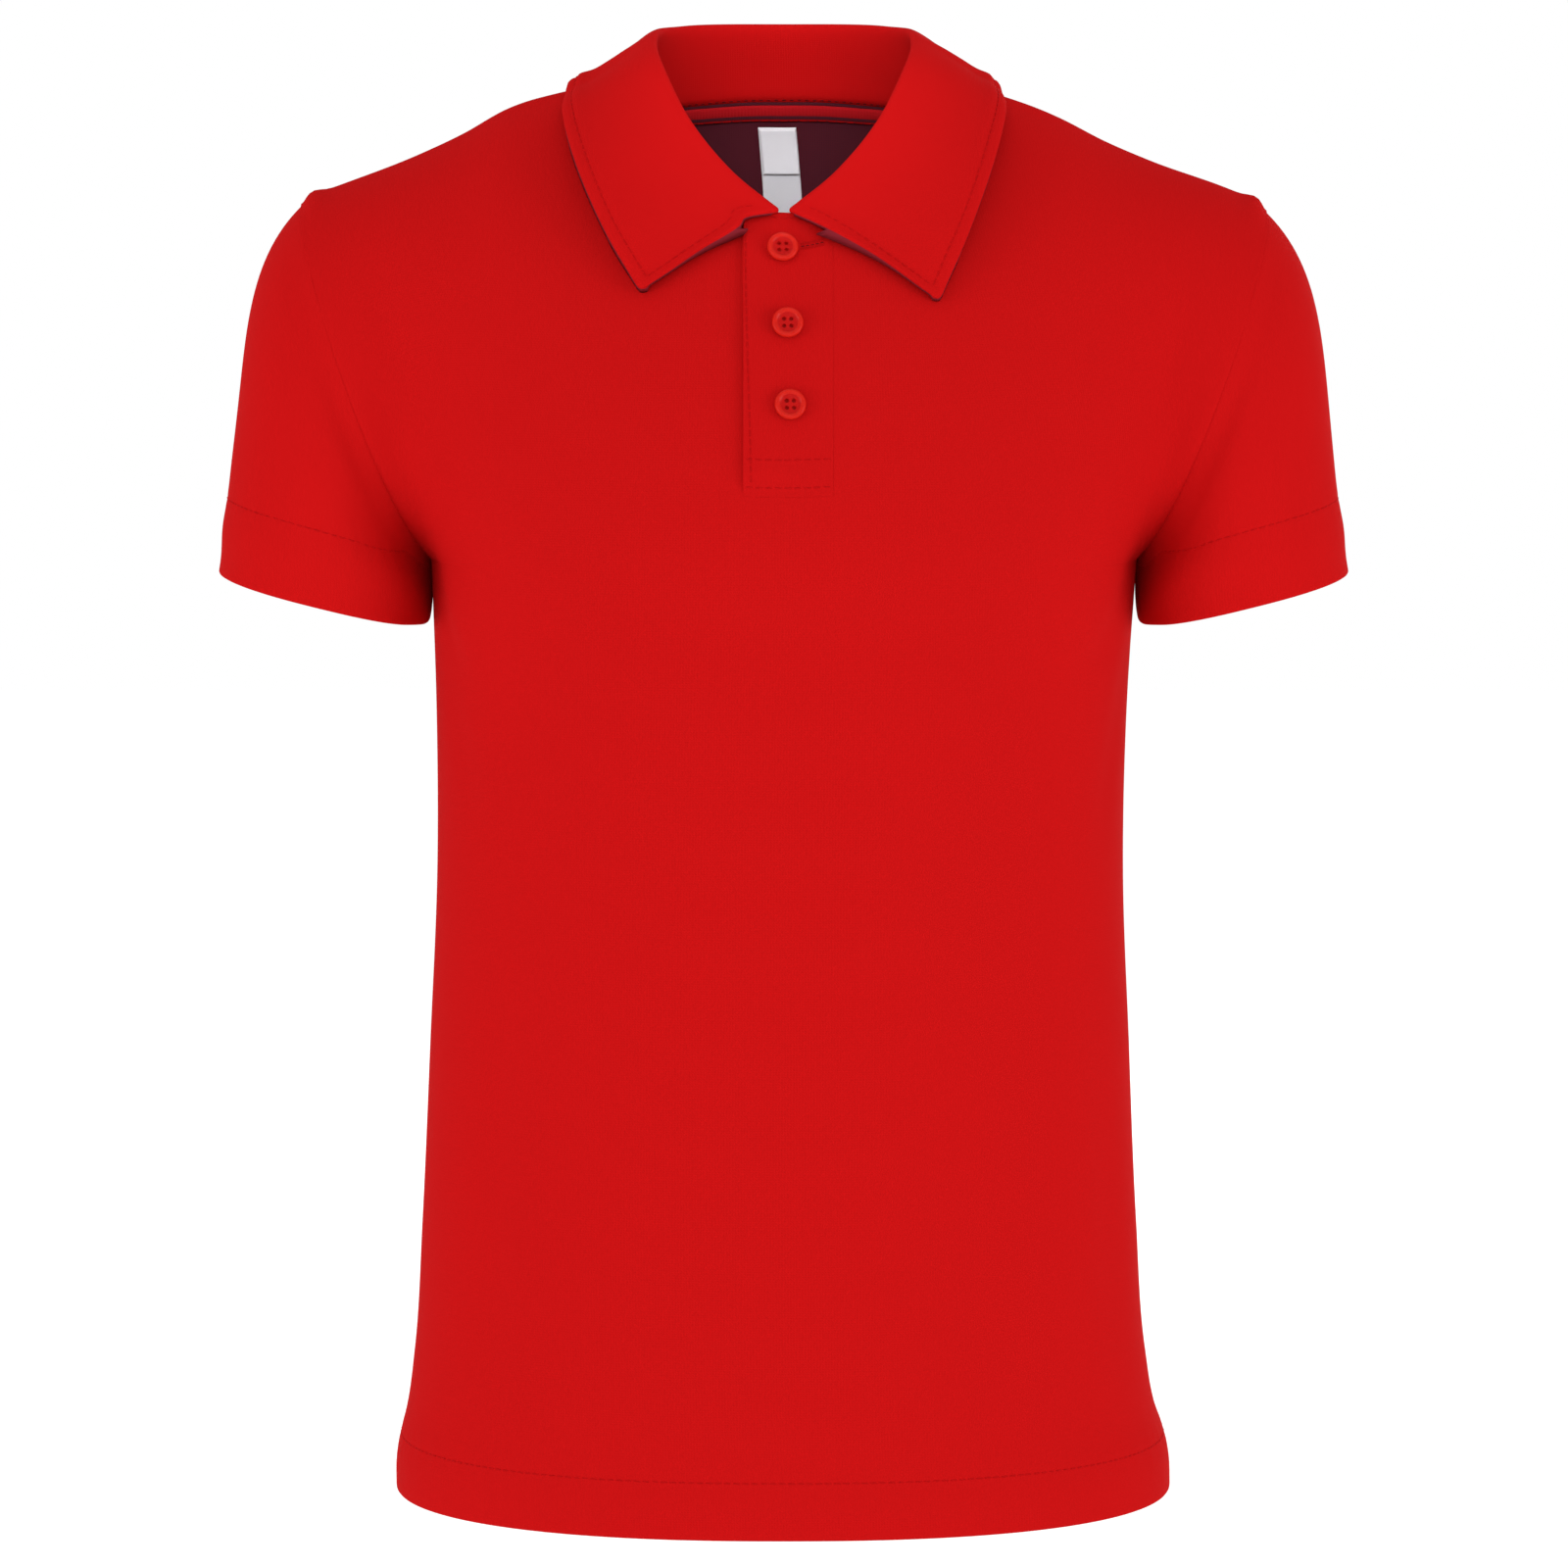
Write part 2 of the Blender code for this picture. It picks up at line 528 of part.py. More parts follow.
def neck_turns():
    """The turns round the neck of the panels' columns, from the wearer's right front end over the back to the
    left one, with the collar's own ends over the placket. Also the hand that each is on."""
    columns = body_columns()
    turns, hands = neck_turns_of(columns[np.abs(columns) < NECK_ACROSS + 1e-9])
    end = COLLAR[-1][0]
    front = turns < end
    right, left = (np.sort(np.append(turns[front & (hands == hand)], end)) for hand in (-1, 1))
    back_right, back_left = (-side[side < end][::-1] for side in (right, left))
    back_right, back_left = back_right[back_right < 0], back_left[back_left < 0]
    turns = np.concatenate([right[::-1], back_right[::-1], [-90.0], back_left, left])
    hands = np.ones(len(turns))
    hands[: len(right) + len(back_right)] = -1
    return turns, hands


def collar(ground, material):
    """One strip of doubled cloth: it stands up from the neckline, folds over and falls onto the shoulders."""
    turns, hands = neck_turns()
    face, onward = neck_cut(hands, turns)
    foot = neck_edge(hands, turns) + onward * SEAM - face * COLLAR_WALL / 2
    table = through(mirrored(COLLAR, odd=(0, 3)), turns)
    mirror = np.stack([hands, np.ones_like(hands), np.ones_like(hands)], -1)
    fold, rim = table[:, :3] * mirror, table[:, 3:6] * mirror
    roll, lift = table[:, 6:7], table[:, 7:8]
    towards_tip = np.clip((turns - TIP_FROM) / (COLLAR[-1][0] - TIP_FROM), 0, 1) ** 2 * (hands > 0)
    rim = rim + towards_tip[:, None] * LEFT_TIP_SHIFT
    rim = clear_of(ground, rim, COLLAR_WALL / 2 + SEAM + lift)
    round_it = unit(np.gradient(fold, axis=0))
    outward = rim - fold
    outward = unit(outward - round_it * (outward * round_it).sum(-1, keepdims=True) + (0, 0, FOLD_RISE))
    outward[:, 2] = np.maximum(outward[:, 2], FOLD_STEEPEST)
    outward = unit(outward)
    stand_t = np.linspace(0, 1, COLLAR_STAND_ROWS + 1)[:-1, None] + 0 * turns
    fall_t = np.linspace(0, 1, COLLAR_FALL_ROWS + 1)[:, None] ** FALL_SPACING + 0 * turns
    at_shoulder = np.maximum(np.cos(2 * np.radians(turns)), 0)
    height = table[:, 8] + LEFT_STANDS_UP * hands * at_shoulder
    bulge = height[:, None] * np.array([ground.find_nearest(Vector(point))[1] for point in rim])
    stand = curved(foot, foot + (fold - foot) * STAND_BEND, fold - outward * roll, fold, stand_t)
    inner_rim = rim + (fold - rim) * FALL_BEND + bulge
    fall = curved(fold, fold + outward * roll * FALL_LEAVE, inner_rim, rim, fall_t)
    fall = clear_of(ground, fall, COLLAR_WALL / 2 + SEAM + LEAF_CLEARANCE)
    middle = np.concatenate([stand, fall])
    cut = unit(np.cross(np.gradient(middle, axis=1), np.gradient(middle, axis=0)))
    cut[0] = -face
    half = COLLAR_WALL / 2
    return wall_object("collar", middle + cut * half, middle - cut * half, material)


def clear_of(ground, points, gap):
    """The points, each moved straight off the ground's surface until it is at least gap away."""
    gap = np.broadcast_to(gap, points.shape[:-1] + (1,)).reshape(-1)
    moved = []
    for point, least in zip(points.reshape(-1, 3), gap):
        place, facing, _, _ = ground.find_nearest(Vector(point))
        height = (Vector(point) - place).dot(facing)
        moved.append(place + facing * least if height < least else Vector(point))
    return np.array(moved).reshape(points.shape)


def ground_under_collar():
    """A searchable surface of what the collar falls onto: the upper panels' outer faces and the upper strip's."""
    x = np.linspace(OPENING_LEFT - STRIP_OVERLAP, OPENING_RIGHT, 8)
    panels = [(side, np.linspace(-1, 1, GROUND_COLUMNS), 0.0) for side in (-1, 1)]
    points, faces = [], []
    for side, across, lift in [*panels, (-1, across_at(x), strip_lift(x))]:
        across, up = np.meshgrid(across[::-side], np.linspace(GROUND_FROM, 1, GROUND_ROWS))
        face = panel_face(side, across, up)
        sheet = panel(side, across, up) + face * np.broadcast_to(lift, across.shape)[..., None]
        rows, columns = across.shape
        j, i = np.mgrid[0 : rows - 1, 0 : columns - 1]
        corner = len(points) + j * columns + i
        faces += np.stack([corner, corner + 1, corner + columns + 1, corner + columns], -1).reshape(-1, 4).tolist()
        points += sheet.reshape(-1, 3).tolist()
    return BVHTree.FromPolygons(points, faces)


# ---- The placket ----


def strip_lift(x):
    """How far the upper strip's face is lifted: none at its seam, and most at its free edge."""
    free = OPENING_LEFT - STRIP_OVERLAP
    return STRIP_LIFT * (OPENING_RIGHT - x) / (OPENING_RIGHT - free)


def placket_strip(name, upper, material):
    """A strip of the placket. The upper one is sewn on at the wearer's left, and the under one at the right."""
    if upper:
        free = OPENING_LEFT - STRIP_OVERLAP
        corner = free + CORNER_WIDTH * (1 - np.cos(np.radians(np.linspace(0, 90, 6))))
        x = np.concatenate([corner, np.linspace(corner[-1], OPENING_RIGHT - SEAM, 5)[1:]])
        lift = strip_lift(x)
        off = np.clip((corner[-1] - x) / CORNER_WIDTH, 0, 1)
        below_top = CORNER_HEIGHT * (1 - np.sqrt(1 - off**2)) + STRIP_TOP_GAP
    else:
        x = np.linspace(OPENING_LEFT + SEAM, OPENING_RIGHT + STRIP_OVERLAP, 6)
        lift = strip_lift(x) - STRIP_LIFT
        below_top = UNDER_TOP_GAP
    across = across_at(x)
    first = up_at(-1, 0.0, OPENING_BOTTOM_Z + STRIP_END_GAP)
    last = up_below_neck(-1, across, below_top)
    ups = first + np.linspace(0, 1, STRIP_ROWS + 1)[:, None] * (last - first)
    return on_panel(name, -1, across, ups, lift, STRIP_WALL, material)


# ---- Buttons ----


def button_mesh(material):
    """A round button with a raised rim, turned about its axis."""
    points = [(0.0, 0.0, 0.0)]
    for radius, height in BUTTON_PROFILE:
        for k in range(BUTTON_STEPS):
            angle = 2 * math.pi * k / BUTTON_STEPS
            points.append((radius * math.cos(angle), radius * math.sin(angle), height))
    points.append((0.0, 0.0, BUTTON_PROFILE[-1][1]))
    faces = []
    for k in range(BUTTON_STEPS):
        following = (k + 1) % BUTTON_STEPS
        faces.append((0, 1 + following, 1 + k))
        for ring in range(len(BUTTON_PROFILE) - 1):
            low, high = 1 + ring * BUTTON_STEPS, 1 + (ring + 1) * BUTTON_STEPS
            faces.append((low + k, low + following, high + following, high + k))
        last = 1 + (len(BUTTON_PROFILE) - 1) * BUTTON_STEPS
        faces.append((last + k, last + following, len(points) - 1))
    mesh = bpy.data.meshes.new("button")
    mesh.from_pydata(points, [], faces)
    mesh.materials.append(material)
    mesh.shade_smooth()
    mesh.set_sharp_from_angle(angle=SHARP_FROM)
    return mesh


def hole_cutter_mesh():
    """Four rods that cut a button's holes."""
    points, faces = [], []
    for hole in range(4):
        turn = math.pi / 4 + hole * math.pi / 2
        first = len(points)
        for height in HOLE_CUTTER_ENDS:
            for k in range(HOLE_STEPS):
                angle = 2 * math.pi * k / HOLE_STEPS
                x = HOLE_FROM_AXIS * math.cos(turn) + HOLE_RADIUS * math.cos(angle)
                y = HOLE_FROM_AXIS * math.sin(turn) + HOLE_RADIUS * math.sin(angle)
                points.append((x, y, height))
        faces.append([first + k for k in reversed(range(HOLE_STEPS))])
        faces.append([first + HOLE_STEPS + k for k in range(HOLE_STEPS)])
        for k in range(HOLE_STEPS):
            following = (k + 1) % HOLE_STEPS
            faces.append(
                (first + k, first + following, first + HOLE_STEPS + following, first + HOLE_STEPS + k)
            )
    mesh = bpy.data.meshes.new("button_holes")
    mesh.from_pydata(points, [], faces)
    return mesh


def buttons(material):
    """Three buttons on the upper strip, each a seam's gap off it."""
    shape, holes = button_mesh(material), hole_cutter_mesh()
    for number, (x, z, tilt) in enumerate(BUTTONS, 1):
        across, up = across_at(x), up_at(-1, across_at(x), z)
        slope = strip_lift(x - 0.5) - strip_lift(x + 0.5)
        face = unit(panel_face(-1, across, up) + (slope, 0, 0))
        tilt = math.radians(tilt)
        raised = strip_lift(x) + SEAM + BUTTON_CLEARANCE + BUTTON_RADIUS * math.sin(tilt)
        place = panel(-1, across, up) + face * raised
        turned = Vector(face).to_track_quat("Z", "Y") @ Quaternion((1, 0, 0), tilt)
        button = bpy.data.objects.new(f"button_{number}", shape)
        cutter = bpy.data.objects.new(f"button_{number}_holes", holes)
        for item in (button, cutter):
            item.location = place
            item.rotation_mode = "QUATERNION"
            item.rotation_quaternion = turned
            bpy.context.scene.collection.objects.link(item)
        cutter.hide_render = True
        cutter.display_type = "WIRE"
        cut = button.modifiers.new("holes", "BOOLEAN")
        cut.object = cutter
        cut.operation = "DIFFERENCE"


# ---- Tape and labels inside the back neck ----


def inside_back(name, across, distances, lift, wall, material):
    """A piece on the inside of the back, between distances down from the neckline."""
    ups = up_below_neck(1, across[::-1], distances[:, None])
    return on_panel(name, 1, across, ups, -(PANEL_WALL + lift), wall, material)


def neck_inside(tape_material, label_material):
    columns = body_columns()
    across = columns[np.abs(columns) <= NECK_ACROSS + 1e-9]
    across = np.concatenate([[across[0] + TAPE_END_GAP], across[1:-1], [across[-1] - TAPE_END_GAP]])
    distances = np.linspace(TAPE_WIDTH, TAPE_TOP_GAP, 3)
    inside_back("neck_tape", across, distances, INSIDE_GAP, TAPE_WALL, tape_material)
    across = across_at(LABEL_MIDDLE + LABEL_HALF_WIDTH * np.linspace(-1, 1, 4))
    top = TAPE_WIDTH + SEAM
    lengths = np.linspace(MAIN_LABEL_LENGTH, 0, 7) + top
    inside_back("main_label", across, lengths, INSIDE_GAP, LABEL_WALL, label_material)
    lengths = np.linspace(SIZE_LABEL_LENGTH, 0, 5) + top
    inside_back("size_label", across, lengths, INSIDE_GAP + LABEL_WALL + SEAM, LABEL_WALL, label_material)


def main():
    clear_scene()
    cloth = plain_material("cloth", CLOTH_RED, 0.8)
    collar_cloth = plain_material("collar_cloth", CLOTH_RED, 0.75)
    tape = plain_material("tape", CLOTH_RED, 0.85)
    plastic = plain_material("button_plastic", BUTTON_RED, 0.3)
    label = plain_material("label_satin", LABEL_GREY, 0.5)
    body_panel(-1, "front", cloth)
    body_panel(1, "back", cloth)
    sleeve(1, "sleeve_left", cloth)
    sleeve(-1, "sleeve_right", cloth)
    placket_strip("placket_over", True, collar_cloth)
    placket_strip("placket_under", False, collar_cloth)
    collar(ground_under_collar(), collar_cloth)
    buttons(plastic)
    neck_inside(tape, label)


main()
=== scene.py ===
import math

import bpy
import numpy as np
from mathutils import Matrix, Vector


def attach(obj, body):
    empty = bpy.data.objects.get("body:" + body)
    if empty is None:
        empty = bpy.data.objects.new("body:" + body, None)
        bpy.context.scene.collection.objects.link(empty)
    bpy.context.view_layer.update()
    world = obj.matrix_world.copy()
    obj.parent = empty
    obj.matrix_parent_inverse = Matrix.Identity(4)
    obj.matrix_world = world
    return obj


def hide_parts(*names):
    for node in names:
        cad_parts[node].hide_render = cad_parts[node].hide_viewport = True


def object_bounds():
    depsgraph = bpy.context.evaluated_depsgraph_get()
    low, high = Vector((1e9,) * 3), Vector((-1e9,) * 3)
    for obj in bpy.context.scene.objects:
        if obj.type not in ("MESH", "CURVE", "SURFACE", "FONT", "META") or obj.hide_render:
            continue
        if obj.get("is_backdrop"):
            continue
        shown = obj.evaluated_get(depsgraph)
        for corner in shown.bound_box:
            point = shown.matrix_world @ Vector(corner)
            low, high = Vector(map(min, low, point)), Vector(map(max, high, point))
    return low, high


print("loading the frame")
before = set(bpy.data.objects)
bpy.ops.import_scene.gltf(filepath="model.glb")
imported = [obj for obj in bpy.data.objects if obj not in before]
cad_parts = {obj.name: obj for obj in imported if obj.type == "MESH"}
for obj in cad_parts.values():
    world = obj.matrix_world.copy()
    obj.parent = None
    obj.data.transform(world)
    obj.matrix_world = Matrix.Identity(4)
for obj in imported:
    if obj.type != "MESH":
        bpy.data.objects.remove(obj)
frameLow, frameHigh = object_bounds()
world = bpy.context.scene
world.view_settings.view_transform = "Standard"


# camera: in front, a little above the shirt's middle
look = dict(target=(0, 0, -0.242), distance=2.2, elevation=5, lens=148.5)


def placeCamera():
    data = bpy.data.cameras.new("camera")
    camera = bpy.data.objects.new("camera", data)
    world.collection.objects.link(camera)
    rise = math.radians(look["elevation"])
    back = Vector((0, -math.cos(rise), math.sin(rise)))
    camera.location = Vector(look["target"]) + back * look["distance"]
    camera.rotation_euler = back.to_track_quat("Z", "Y").to_euler()
    data.lens = look["lens"]
    data.sensor_width = 36
    data.clip_start = 0.05
    data.clip_end = 60
    world.camera = camera


placeCamera()


# light: a soft white room, dimmer overhead, with broad lamps round the shirt and a few narrow ones
light = dict(
    above=0.32,
    level=0.51,
    below=0.63,
    # power, size and place of the lamp beside the camera, of one at each side and of one behind
    lamps=(
        (9.0, 1.0, (-0.1, -2.8, 0.35)),
        (33.0, 1.6, (-2.4, -1.4, -0.3)),
        (35.0, 1.6, (2.4, -1.4, -0.3)),
        (16.0, 1.6, (0.6, 2.8, 0.30)),
    ),
    # narrow soft lamps into the neck and the corners under the arms: power, place, what they point at,
    # width of the cone in degrees
    narrow=(
        (320.0, (0.0, -2.5, 0.36), (0.0, 0.045, -0.008), 2.2),
        (150.0, (-0.05, -2.8, -0.19), (-0.134, 0.0, -0.182), 1.0),
        (150.0, (0.05, -2.8, -0.19), (0.134, 0.0, -0.182), 1.0),
    ),
    narrowSize=0.05,
    floorHeight=-0.72,
    floorSize=14,
    floorGlow=0.3,
)


def newMaterial(name, colour, roughness, specular=0.1):
    material = bpy.data.materials.new(name)
    material.use_nodes = True
    shader = material.node_tree.nodes["Principled BSDF"]
    shader.inputs["Base Color"].default_value = (*colour, 1)
    shader.inputs["Roughness"].default_value = roughness
    shader.inputs["Specular IOR Level"].default_value = specular
    material.diffuse_color = (*colour, 1)
    return material, material.node_tree.nodes, material.node_tree.links, shader


def putLamp(name, kind, power, place, aim):
    lamp = bpy.data.lights.new(name, kind)
    lamp.energy = power
    item = bpy.data.objects.new(name, lamp)
    world.collection.objects.link(item)
    item.location = place
    item.rotation_euler = (Vector(aim) - item.location).to_track_quat("-Z", "Y").to_euler()
    return lamp


def lightRoom():
    room = bpy.data.worlds.new("room")
    world.world = room
    room.use_nodes = True
    nodes, links = room.node_tree.nodes, room.node_tree.links
    nodes.clear()
    place, split, spread, ramp, glow, wall, seen, mix, out = (
        nodes.new("ShaderNode" + kind)
        for kind in (
            "TexCoord", "SeparateXYZ", "MapRange", "ValToRGB",
            "Background", "Background", "LightPath", "MixShader", "OutputWorld",
        )
    )
    spread.inputs["From Min"].default_value = -1
    for step, level in zip((0.0, 0.5, 1.0), (light["below"], light["level"], light["above"])):
        stop = ramp.color_ramp.elements[0] if step == 0 else ramp.color_ramp.elements.new(step)
        stop.position = step
        stop.color = (level, level, level, 1)
    ramp.color_ramp.elements.remove(ramp.color_ramp.elements[-1])
    wall.inputs["Color"].default_value = (1, 1, 1, 1)
    for source, goal in (
        (place.outputs["Generated"], split.inputs[0]),
        (split.outputs["Z"], spread.inputs["Value"]),
        (spread.outputs[0], ramp.inputs[0]),
        (ramp.outputs[0], glow.inputs["Color"]),
        (seen.outputs["Is Camera Ray"], mix.inputs[0]),
        (glow.outputs[0], mix.inputs[1]),
        (wall.outputs[0], mix.inputs[2]),
        (mix.outputs[0], out.inputs[0]),
    ):
        links.new(source, goal)
    for power, size, spot in light["lamps"]:
        putLamp("lamp", "AREA", power, spot, look["target"]).size = size
    for number, (power, spot, aim, cone) in enumerate(light["narrow"], 1):
        lamp = putLamp(f"narrowLamp{number}", "SPOT", power, spot, aim)
        lamp.spot_size = math.radians(cone)
        lamp.spot_blend = 1
        lamp.shadow_soft_size = light["narrowSize"]
    floor = bpy.data.meshes.new("floor")
    half, low = light["floorSize"] / 2, light["floorHeight"]
    corners = [(x * half, y * half, low) for x, y in ((-1, -1), (1, -1), (1, 1), (-1, 1))]
    floor.from_pydata(corners, [], [(0, 1, 2, 3)])
    paint, _, _, shader = newMaterial("paleFloor", (0.85, 0.85, 0.85), 0.9, 0)
    shader.inputs["Emission Color"].default_value = (1, 1, 1, 1)
    shader.inputs["Emission Strength"].default_value = light["floorGlow"]
    floor.materials.append(paint)
    floorItem = bpy.data.objects.new("floor", floor)
    world.collection.objects.link(floorItem)
    floorItem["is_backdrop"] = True


lightRoom()
print("camera and light are set")


cloth = dict(
    red=(0.460, 0.0046, 0.0050),
    darker=(0.437, 0.0044, 0.0048),
    # painted shade: the inner faces are the same red cloth, coloured dark maroon here for the shade inside
    # the shirt
    inside=(0.060, 0.0130, 0.0235),
    insideShadePale=(0.110, 0.0140, 0.0215),  # painted shade: the paler of the two dark maroon tones of the inner faces, mixed with the darker one by noise
    shaded=(0.190, 0.0150, 0.0230),  # painted shadow: colour of the collar's rim faces, seen as a dark line below the leaf's edges and a wedge under its front edges
    waleWidth=0.00095,  # between two columns of knit loops
    courseHeight=0.00080,  # between two rows of loops
    bump=0.10,
    fuzz=0.03,
)


def mathNode(nodes, links, kind, first, second=None, third=None):
    node = nodes.new("ShaderNodeMath")
    node.operation = kind
    for place, value in enumerate((first, second, third)):
        if value is None:
            continue
        if isinstance(value, (int, float)):
            node.inputs[place].default_value = value
        else:
            links.new(value, node.inputs[place])
    return node.outputs[0]


def addNoise(nodes, links, place, scale, detail=2):
    noise = nodes.new("ShaderNodeTexNoise")
    noise.inputs["Scale"].default_value = scale
    noise.inputs["Detail"].default_value = detail
    links.new(place, noise.inputs["Vector"])
    return noise.outputs[0]


def addBump(nodes, links, shader, height, strength, distance):
    bump = nodes.new("ShaderNodeBump")
    bump.inputs["Strength"].default_value = strength
    bump.inputs["Distance"].default_value = distance
    links.new(height, bump.inputs["Height"])
    links.new(bump.outputs[0], shader.inputs["Normal"])


def addTone(nodes, links, shader, low, high, share):
    tone = nodes.new("ShaderNodeMix")
    tone.data_type = "RGBA"
    tone.inputs["A"].default_value = (*low, 1)
    tone.inputs["B"].default_value = (*high, 1)
    links.new(share, tone.inputs["Factor"])
    links.new(tone.outputs["Result"], shader.inputs["Base Color"])


# metres across and up the cloth
def clothPattern(nodes, links):
    uv = nodes.new("ShaderNodeUVMap")
    uv.uv_map = "cloth"
    split = nodes.new("ShaderNodeSeparateXYZ")
    links.new(uv.outputs[0], split.inputs[0])
    return uv.outputs[0], split.outputs["X"], split.outputs["Y"]


# knit: slanted legs of loops, |sin| of the way across a wale plus a course wave, in slowly uneven colour
def knitMaterial(name, colour, darker, wale, course, bumpStrength):
    material, nodes, links, shader = newMaterial(name, colour, 0.95, 0.02)
    shader.inputs["Sheen Weight"].default_value = cloth["fuzz"]
    shader.inputs["Sheen Roughness"].default_value = 0.6
    shader.inputs["Sheen Tint"].default_value = (0.9, 0.03, 0.03, 1)
    place, x, y = clothPattern(nodes, links)
    across = mathNode(nodes, links, "MULTIPLY", x, math.pi / wale)
    up = mathNode(nodes, links, "MULTIPLY", y, 2 * math.pi / course)
    leg = mathNode(nodes, links, "ABSOLUTE", mathNode(nodes, links, "SINE", across))
    slant = mathNode(nodes, links, "MULTIPLY_ADD", leg, 2.2, up)
    loops = mathNode(nodes, links, "MULTIPLY_ADD", mathNode(nodes, links, "SINE", slant), 0.35, leg)
    lint = addNoise(nodes, links, place, 900, 3)
    cloud = addNoise(nodes, links, place, 22, 4)
    height = mathNode(nodes, links, "MULTIPLY_ADD", lint, 0.6, loops)
    addBump(nodes, links, shader, height, bumpStrength, 0.0003)
    paler = mathNode(nodes, links, "MULTIPLY", loops, 0.45)
    addTone(nodes, links, shader, darker, colour, mathNode(nodes, links, "MULTIPLY_ADD", cloud, 0.5, paler))
    return material


wale, course = cloth["waleWidth"], cloth["courseHeight"]
bodyKnit = knitMaterial("bodyKnit", cloth["red"], cloth["darker"], wale, course, cloth["bump"])
# painted shade: the dark maroon material of the inner faces, and of the tape's dark band
insideShadeKnit = knitMaterial("insideShadeKnit", cloth["insideShadePale"], cloth["inside"], course, wale, 0.14)
collarKnit = knitMaterial("collarKnit", cloth["red"], cloth["darker"], 0.00085, 0.00075, 0.12)
# painted shadow: the dark material of the collar's rim faces below the leaf's edges
edgeShadowKnit = knitMaterial("edgeShadowKnit", cloth["shaded"], cloth["shaded"], 0.00085, 0.00075, 0.12)


def threadMaterial(name, colour):
    material, nodes, links, shader = newMaterial(name, colour, 0.8, 0.02)
    place = nodes.new("ShaderNodeTexCoord").outputs["Object"]
    addBump(nodes, links, shader, addNoise(nodes, links, place, 2500), 0.3, 0.0001)
    return material


redThread = threadMaterial("redThread", (0.40, 0.0042, 0.0048))
darkThread = threadMaterial("darkThread", (0.10, 0.004, 0.006))


# a smooth curve through a table's rows: cubic pieces, each row's slope from its neighbours
def lookUp(table, at):
    rows = np.array(sorted(table), float)
    keys, values = rows[:, 0], rows[:, 1:]
    slopes = np.gradient(values, keys, axis=0)
    at = np.clip(np.asarray(at, float), keys[0], keys[-1])
    low = np.clip(np.searchsorted(keys, at) - 1, 0, len(keys) - 2)
    span = (keys[low + 1] - keys[low])[..., None]
    t = (at - keys[low])[..., None] / span
    start = (2 * t**3 - 3 * t**2 + 1) * values[low] + (t**3 - 2 * t**2 + t) * span * slopes[low]
    end = (3 * t**2 - 2 * t**3) * values[low + 1] + (t**3 - t**2) * span * slopes[low + 1]
    return start + end


# the table with its second row reflected before the first, so that curves cross the middle smoothly
def reflected(table, odd=()):
    first, second = table[0], table[1]
    before = [-value if place in odd else value for place, value in enumerate(second[1:])]
    return ((2 * first[0] - second[0], *before), *table)


# cubic Bezier curves: (1-t)^3 a + 3t(1-t)^2 b + 3t^2(1-t) c + t^3 d
def bezier(a, b, c, d, t):
    t = t[..., None]
    return (1 - t) ** 3 * a + 3 * t * (1 - t) ** 2 * b + 3 * t**2 * (1 - t) * c + t**3 * d


def unit(vectors):
    return vectors / np.maximum(np.linalg.norm(vectors, axis=-1, keepdims=True), 1e-12)


def smooth(t):
    t = np.clip(t, 0, 1)
    return t * t * (3 - 2 * t)


def bell(off, width):
    return np.exp(-((off / width) ** 2))


# the direction a grid of points faces: the step along the row crossed with the step up the column
def gridFace(points, ring=False):
    along = np.roll(points, -1, axis=1) - np.roll(points, 1, axis=1) if ring else np.gradient(points, axis=1)
    return unit(np.cross(along, np.gradient(points, axis=0)))


# lengths along each column from its first row, and along each row from its first column
def columnRun(points):
    return np.cumsum(np.linalg.norm(np.diff(points, axis=0, prepend=points[:1]), axis=-1), axis=0)


def rowRun(points):
    return np.cumsum(np.linalg.norm(np.diff(points, axis=1, prepend=points[:, :1]), axis=-1), axis=1)


# how far along its column (0) or row (1) each point is from the nearer end
def fromEnds(run, axis):
    return np.minimum(run, np.take(run, [-1], axis) - run)


# the cloth's own pattern, in metres: along the rows from the middle column, and up the columns
def clothMap(points):
    u = rowRun(points)
    middle = points.shape[1] // 2
    return np.stack([u - u[:, middle : middle + 1], columnRun(points)], -1)


# each column of values, read at places along a run
def readAt(places, run, values):
    return np.stack([np.interp(places, run, column) for column in values.T], -1)


# each value but the first and last is evened out with its neighbours: (before + 2 x itself + after) / 4
def evenOut(values, times=1):
    for _ in range(times):
        values[1:-1] = (values[:-2] + 2 * values[1:-1] + values[2:]) / 4


# 0 to 1 in even steps of about `step` metres, with close steps near the ends and round the places in `near`
def spacing(length, step, near=(), ends=(0.0002, 0.0006, 0.0013, 0.0026)):
    even = np.linspace(0, 1, max(int(length / step), 2) + 1)
    close = [edge / length for edge in ends] + [1 - edge / length for edge in ends]
    for place in near:
        close += [place + off / length for off in (-0.0022, -0.0012, -0.0005, 0, 0.0005, 0.0012, 0.0022)]
    close = np.array(sorted(set(close)))
    clear = np.abs(even[:, None] - close[None]).min(1) * length > 0.4 * step
    clear[[0, -1]] = True
    found = np.unique(np.concatenate([even[clear], close]))
    return found[(found >= 0) & (found <= 1)]


def putMesh(name, points, faces, materials, cornerUv=None, finish=None):
    mesh = bpy.data.meshes.new(name)
    mesh.from_pydata(points.tolist(), [], faces)
    for material in materials:
        mesh.materials.append(material)
    if finish is not None:
        mesh.polygons.foreach_set("material_index", finish.astype(np.int32))
    if cornerUv is not None:
        mesh.uv_layers.new(name="cloth").data.foreach_set("uv", cornerUv.astype(np.float32).ravel())
    mesh.shade_smooth()
    piece = bpy.data.objects.new(name, mesh)
    world.collection.objects.link(piece)
    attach(piece, "root")
    return piece


